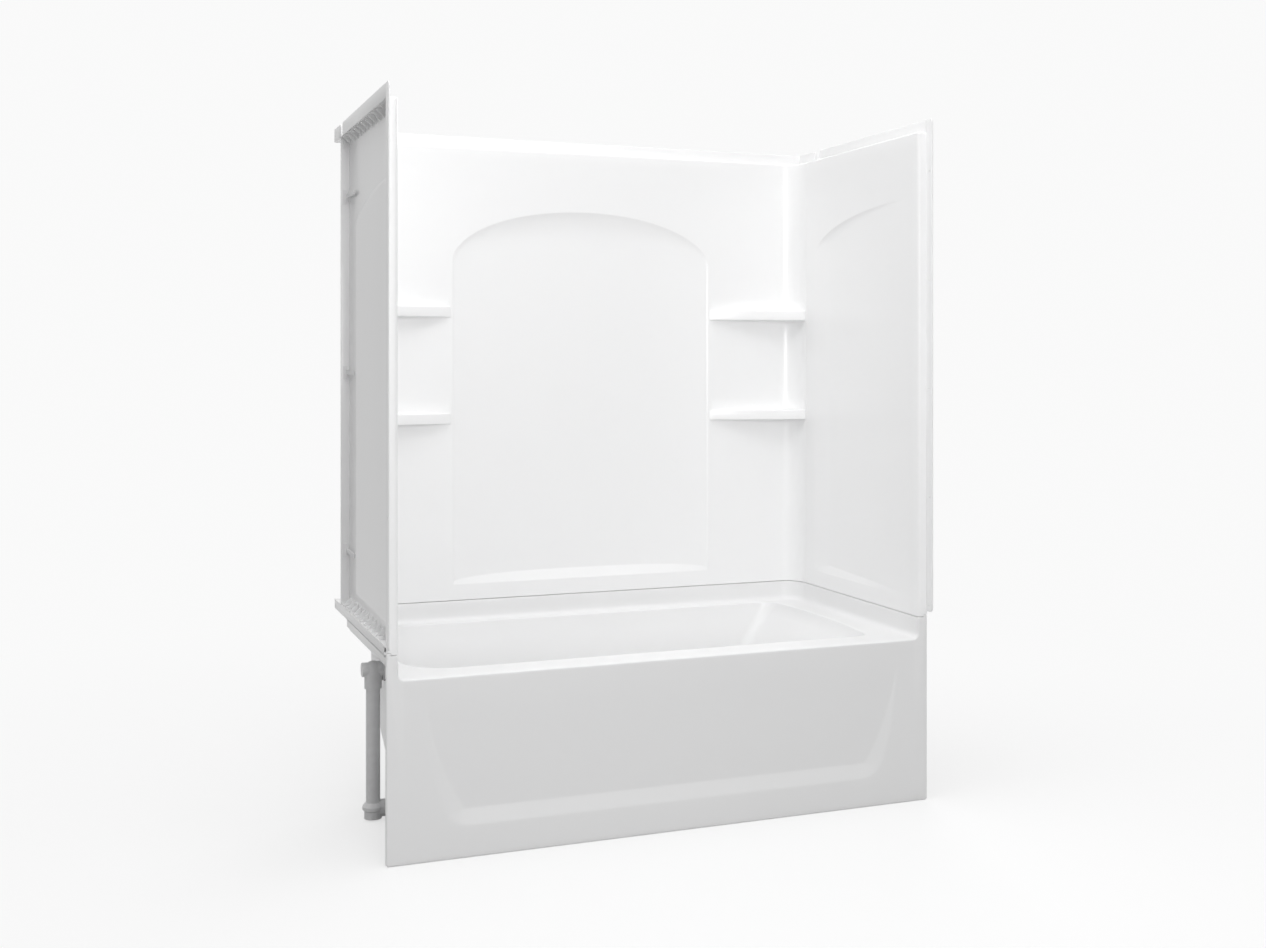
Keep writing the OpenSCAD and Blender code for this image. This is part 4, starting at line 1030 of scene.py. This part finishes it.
finishes = {
    "feet": pipe_plastic("feet plastic", (0.45, 0.45, 0.44), 0.6),
    "clip": pipe_plastic("clip plastic", (0.92, 0.92, 0.925), 0.4),
    "pipe": pipe_plastic("grey pipe", (0.88, 0.88, 0.885)),
    "nut": pipe_plastic("nut plastic", (0.80, 0.80, 0.81)),
    "rubber": gasket_rubber(),
    "chrome": bright_metal("polished chrome", (0.78, 0.79, 0.81), 0.06),
    "steel": bright_metal("drawn steel", (0.56, 0.56, 0.57), 0.25),
    "brass": bright_metal("plain brass", (0.72, 0.52, 0.24), 0.28)}
worn_by = {
    "feet": ["support_feet"],
    "clip": ["left_corner_clips", "right_corner_clips"],
    "pipe": ["overflow_elbow", "overflow_tube", "waste_tee", "waste_arm", "drain_shoe"],
    "nut": ["arm_slip_nut"],
    "rubber": ["overflow_gasket", "shoe_gasket", "stopper_seal"],
    "chrome": ["overflow_plate", "overflow_plate_screws", "trip_lever", "drain_flange",
               "stopper"],
    "steel": ["lever_pivot_pin", "linkage_pin", "linkage_spring"],
    "brass": ["linkage_rod", "rocker_arm"]}
for finish, nodes in worn_by.items():
    for node in nodes:
        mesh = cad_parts[node].data
        mesh.materials.clear()
        mesh.materials.append(finishes[finish])


# The floor and the light

BACKGROUND, FLOOR_SIZE, FLOOR_Z = 0.952, 60.0, -0.0005
GLOW_FROM, GLOW_TO = 0.9, 3.2
SKY_LEVEL, SKY_TOP = 0.0, 0.93
FLOOR_GLOW, FLOOR_TONE, FLOOR_BOUNCE = 0.66, 0.93, 0.4


def make_floor():
    """A floor that the camera and reflections see in the background's tone. It keeps its
    shadow near the mouldings, glows evenly further out, and gives back less light than it
    shows."""
    mesh = bpy.data.meshes.new("floor")
    corners = [(x * FLOOR_SIZE, y * FLOOR_SIZE, FLOOR_Z)
               for x, y in ((-1, -1), (1, -1), (1, 1), (-1, 1))]
    mesh.from_pydata(corners, [], [(0, 1, 2, 3)])
    floor = bpy.data.objects.new("floor", mesh)
    bpy.context.scene.collection.objects.link(floor)
    finish = Finish("pale floor")
    finish.nodes.remove(finish.shader)
    seen = finish.seen_directly()
    pale = finish.node("ShaderNodeEmission", {}, {"Color": (BACKGROUND,) * 3})
    tone = finish.mix(seen, (FLOOR_BOUNCE,) * 3, (FLOOR_TONE,) * 3)
    board = finish.node("ShaderNodeBsdfDiffuse", {}, {"Color": tone})
    where = finish.node("ShaderNodeTexCoord", {}, [], "Object")
    away = finish.node("ShaderNodeVectorMath", {"operation": "LENGTH"}, [where], "Value")
    glow = finish.node("ShaderNodeMapRange", {"interpolation_type": "SMOOTHSTEP"},
                       [away, GLOW_FROM, GLOW_TO, FLOOR_GLOW, 1.0])
    both = finish.node("ShaderNodeMixShader", {}, [seen * glow, board, pale])
    finish.links.new(both.socket, finish.nodes["Material Output"].inputs["Surface"])
    mesh.materials.append(finish.material)


def make_world():
    """A world in the background's tone to the camera and reflections, and a soft sky to
    all else, which is brightest overhead."""
    world = bpy.data.worlds.new("studio")
    bpy.context.scene.world = world
    world.use_nodes = True
    air = Tree(world.node_tree)
    up = air.node("ShaderNodeTexCoord", {}, [], "Generated")
    up = air.node("ShaderNodeSeparateXYZ", {}, [up], "Z")
    up = air.node("ShaderNodeMath", {"operation": "MAXIMUM"}, [up, 0.0])
    low, high = (air.node("ShaderNodeBackground", {}, {"Color": (1, 1, 1), "Strength": value})
                 for value in (SKY_LEVEL, SKY_LEVEL + SKY_TOP))
    sky = air.node("ShaderNodeMixShader", {}, [up, low, high])
    pale = air.node("ShaderNodeBackground", {}, {"Color": (BACKGROUND,) * 3, "Strength": 1.0})
    both = air.node("ShaderNodeMixShader", {}, [air.seen_directly(), sky, pale])
    air.links.new(both.socket, air.nodes["World Output"].inputs["Surface"])


def softbox(name, place, target, size, share):
    """A square lamp that looks at a target. share is the light that it gives there to a
    face square to it, where 1 makes a white face white."""
    data = bpy.data.lights.new(name, "AREA")
    data.shape = "RECTANGLE"
    data.size, data.size_y = size
    way = Vector(target) - Vector(place)
    data.energy = share * (math.pi * way.length) ** 2
    lamp = bpy.data.objects.new(name, data)
    lamp.location = place
    lamp.rotation_euler = way.to_track_quat("-Z", "Y").to_euler()
    bpy.context.scene.collection.objects.link(lamp)


make_floor()
make_world()
softbox("overhead", (-0.5, -0.8, 5.0), (0.0, 0.0, 0.5), (4.0, 4.0), 0.33)
softbox("inside", (-0.5, -0.7, 3.0), (0.7, 0.1, 1.2), (0.9, 0.9), 0.125)
softbox("front", (-0.65, -4.7, 1.8), (0.2, 0.0, 0.9), (1.6, 1.8), 0.295)
softbox("back", (2.6, 3.8, 2.6), (0.2, 0.2, 0.9), (2.0, 2.0), 0.30)


# The camera stands where the photograph was taken

camera = bpy.data.objects.new("camera", bpy.data.cameras.new("camera"))
camera.location = (-1.4519, -3.8432, 1.2309)
camera.rotation_euler = (math.radians(90), 0, math.radians(-20.95))
camera.data.sensor_width = 36.0
camera.data.lens = 40.81
camera.data.shift_y = -0.0885
bpy.context.scene.collection.objects.link(camera)
bpy.context.scene.camera = camera
bpy.context.scene.view_settings.view_transform = "Standard"
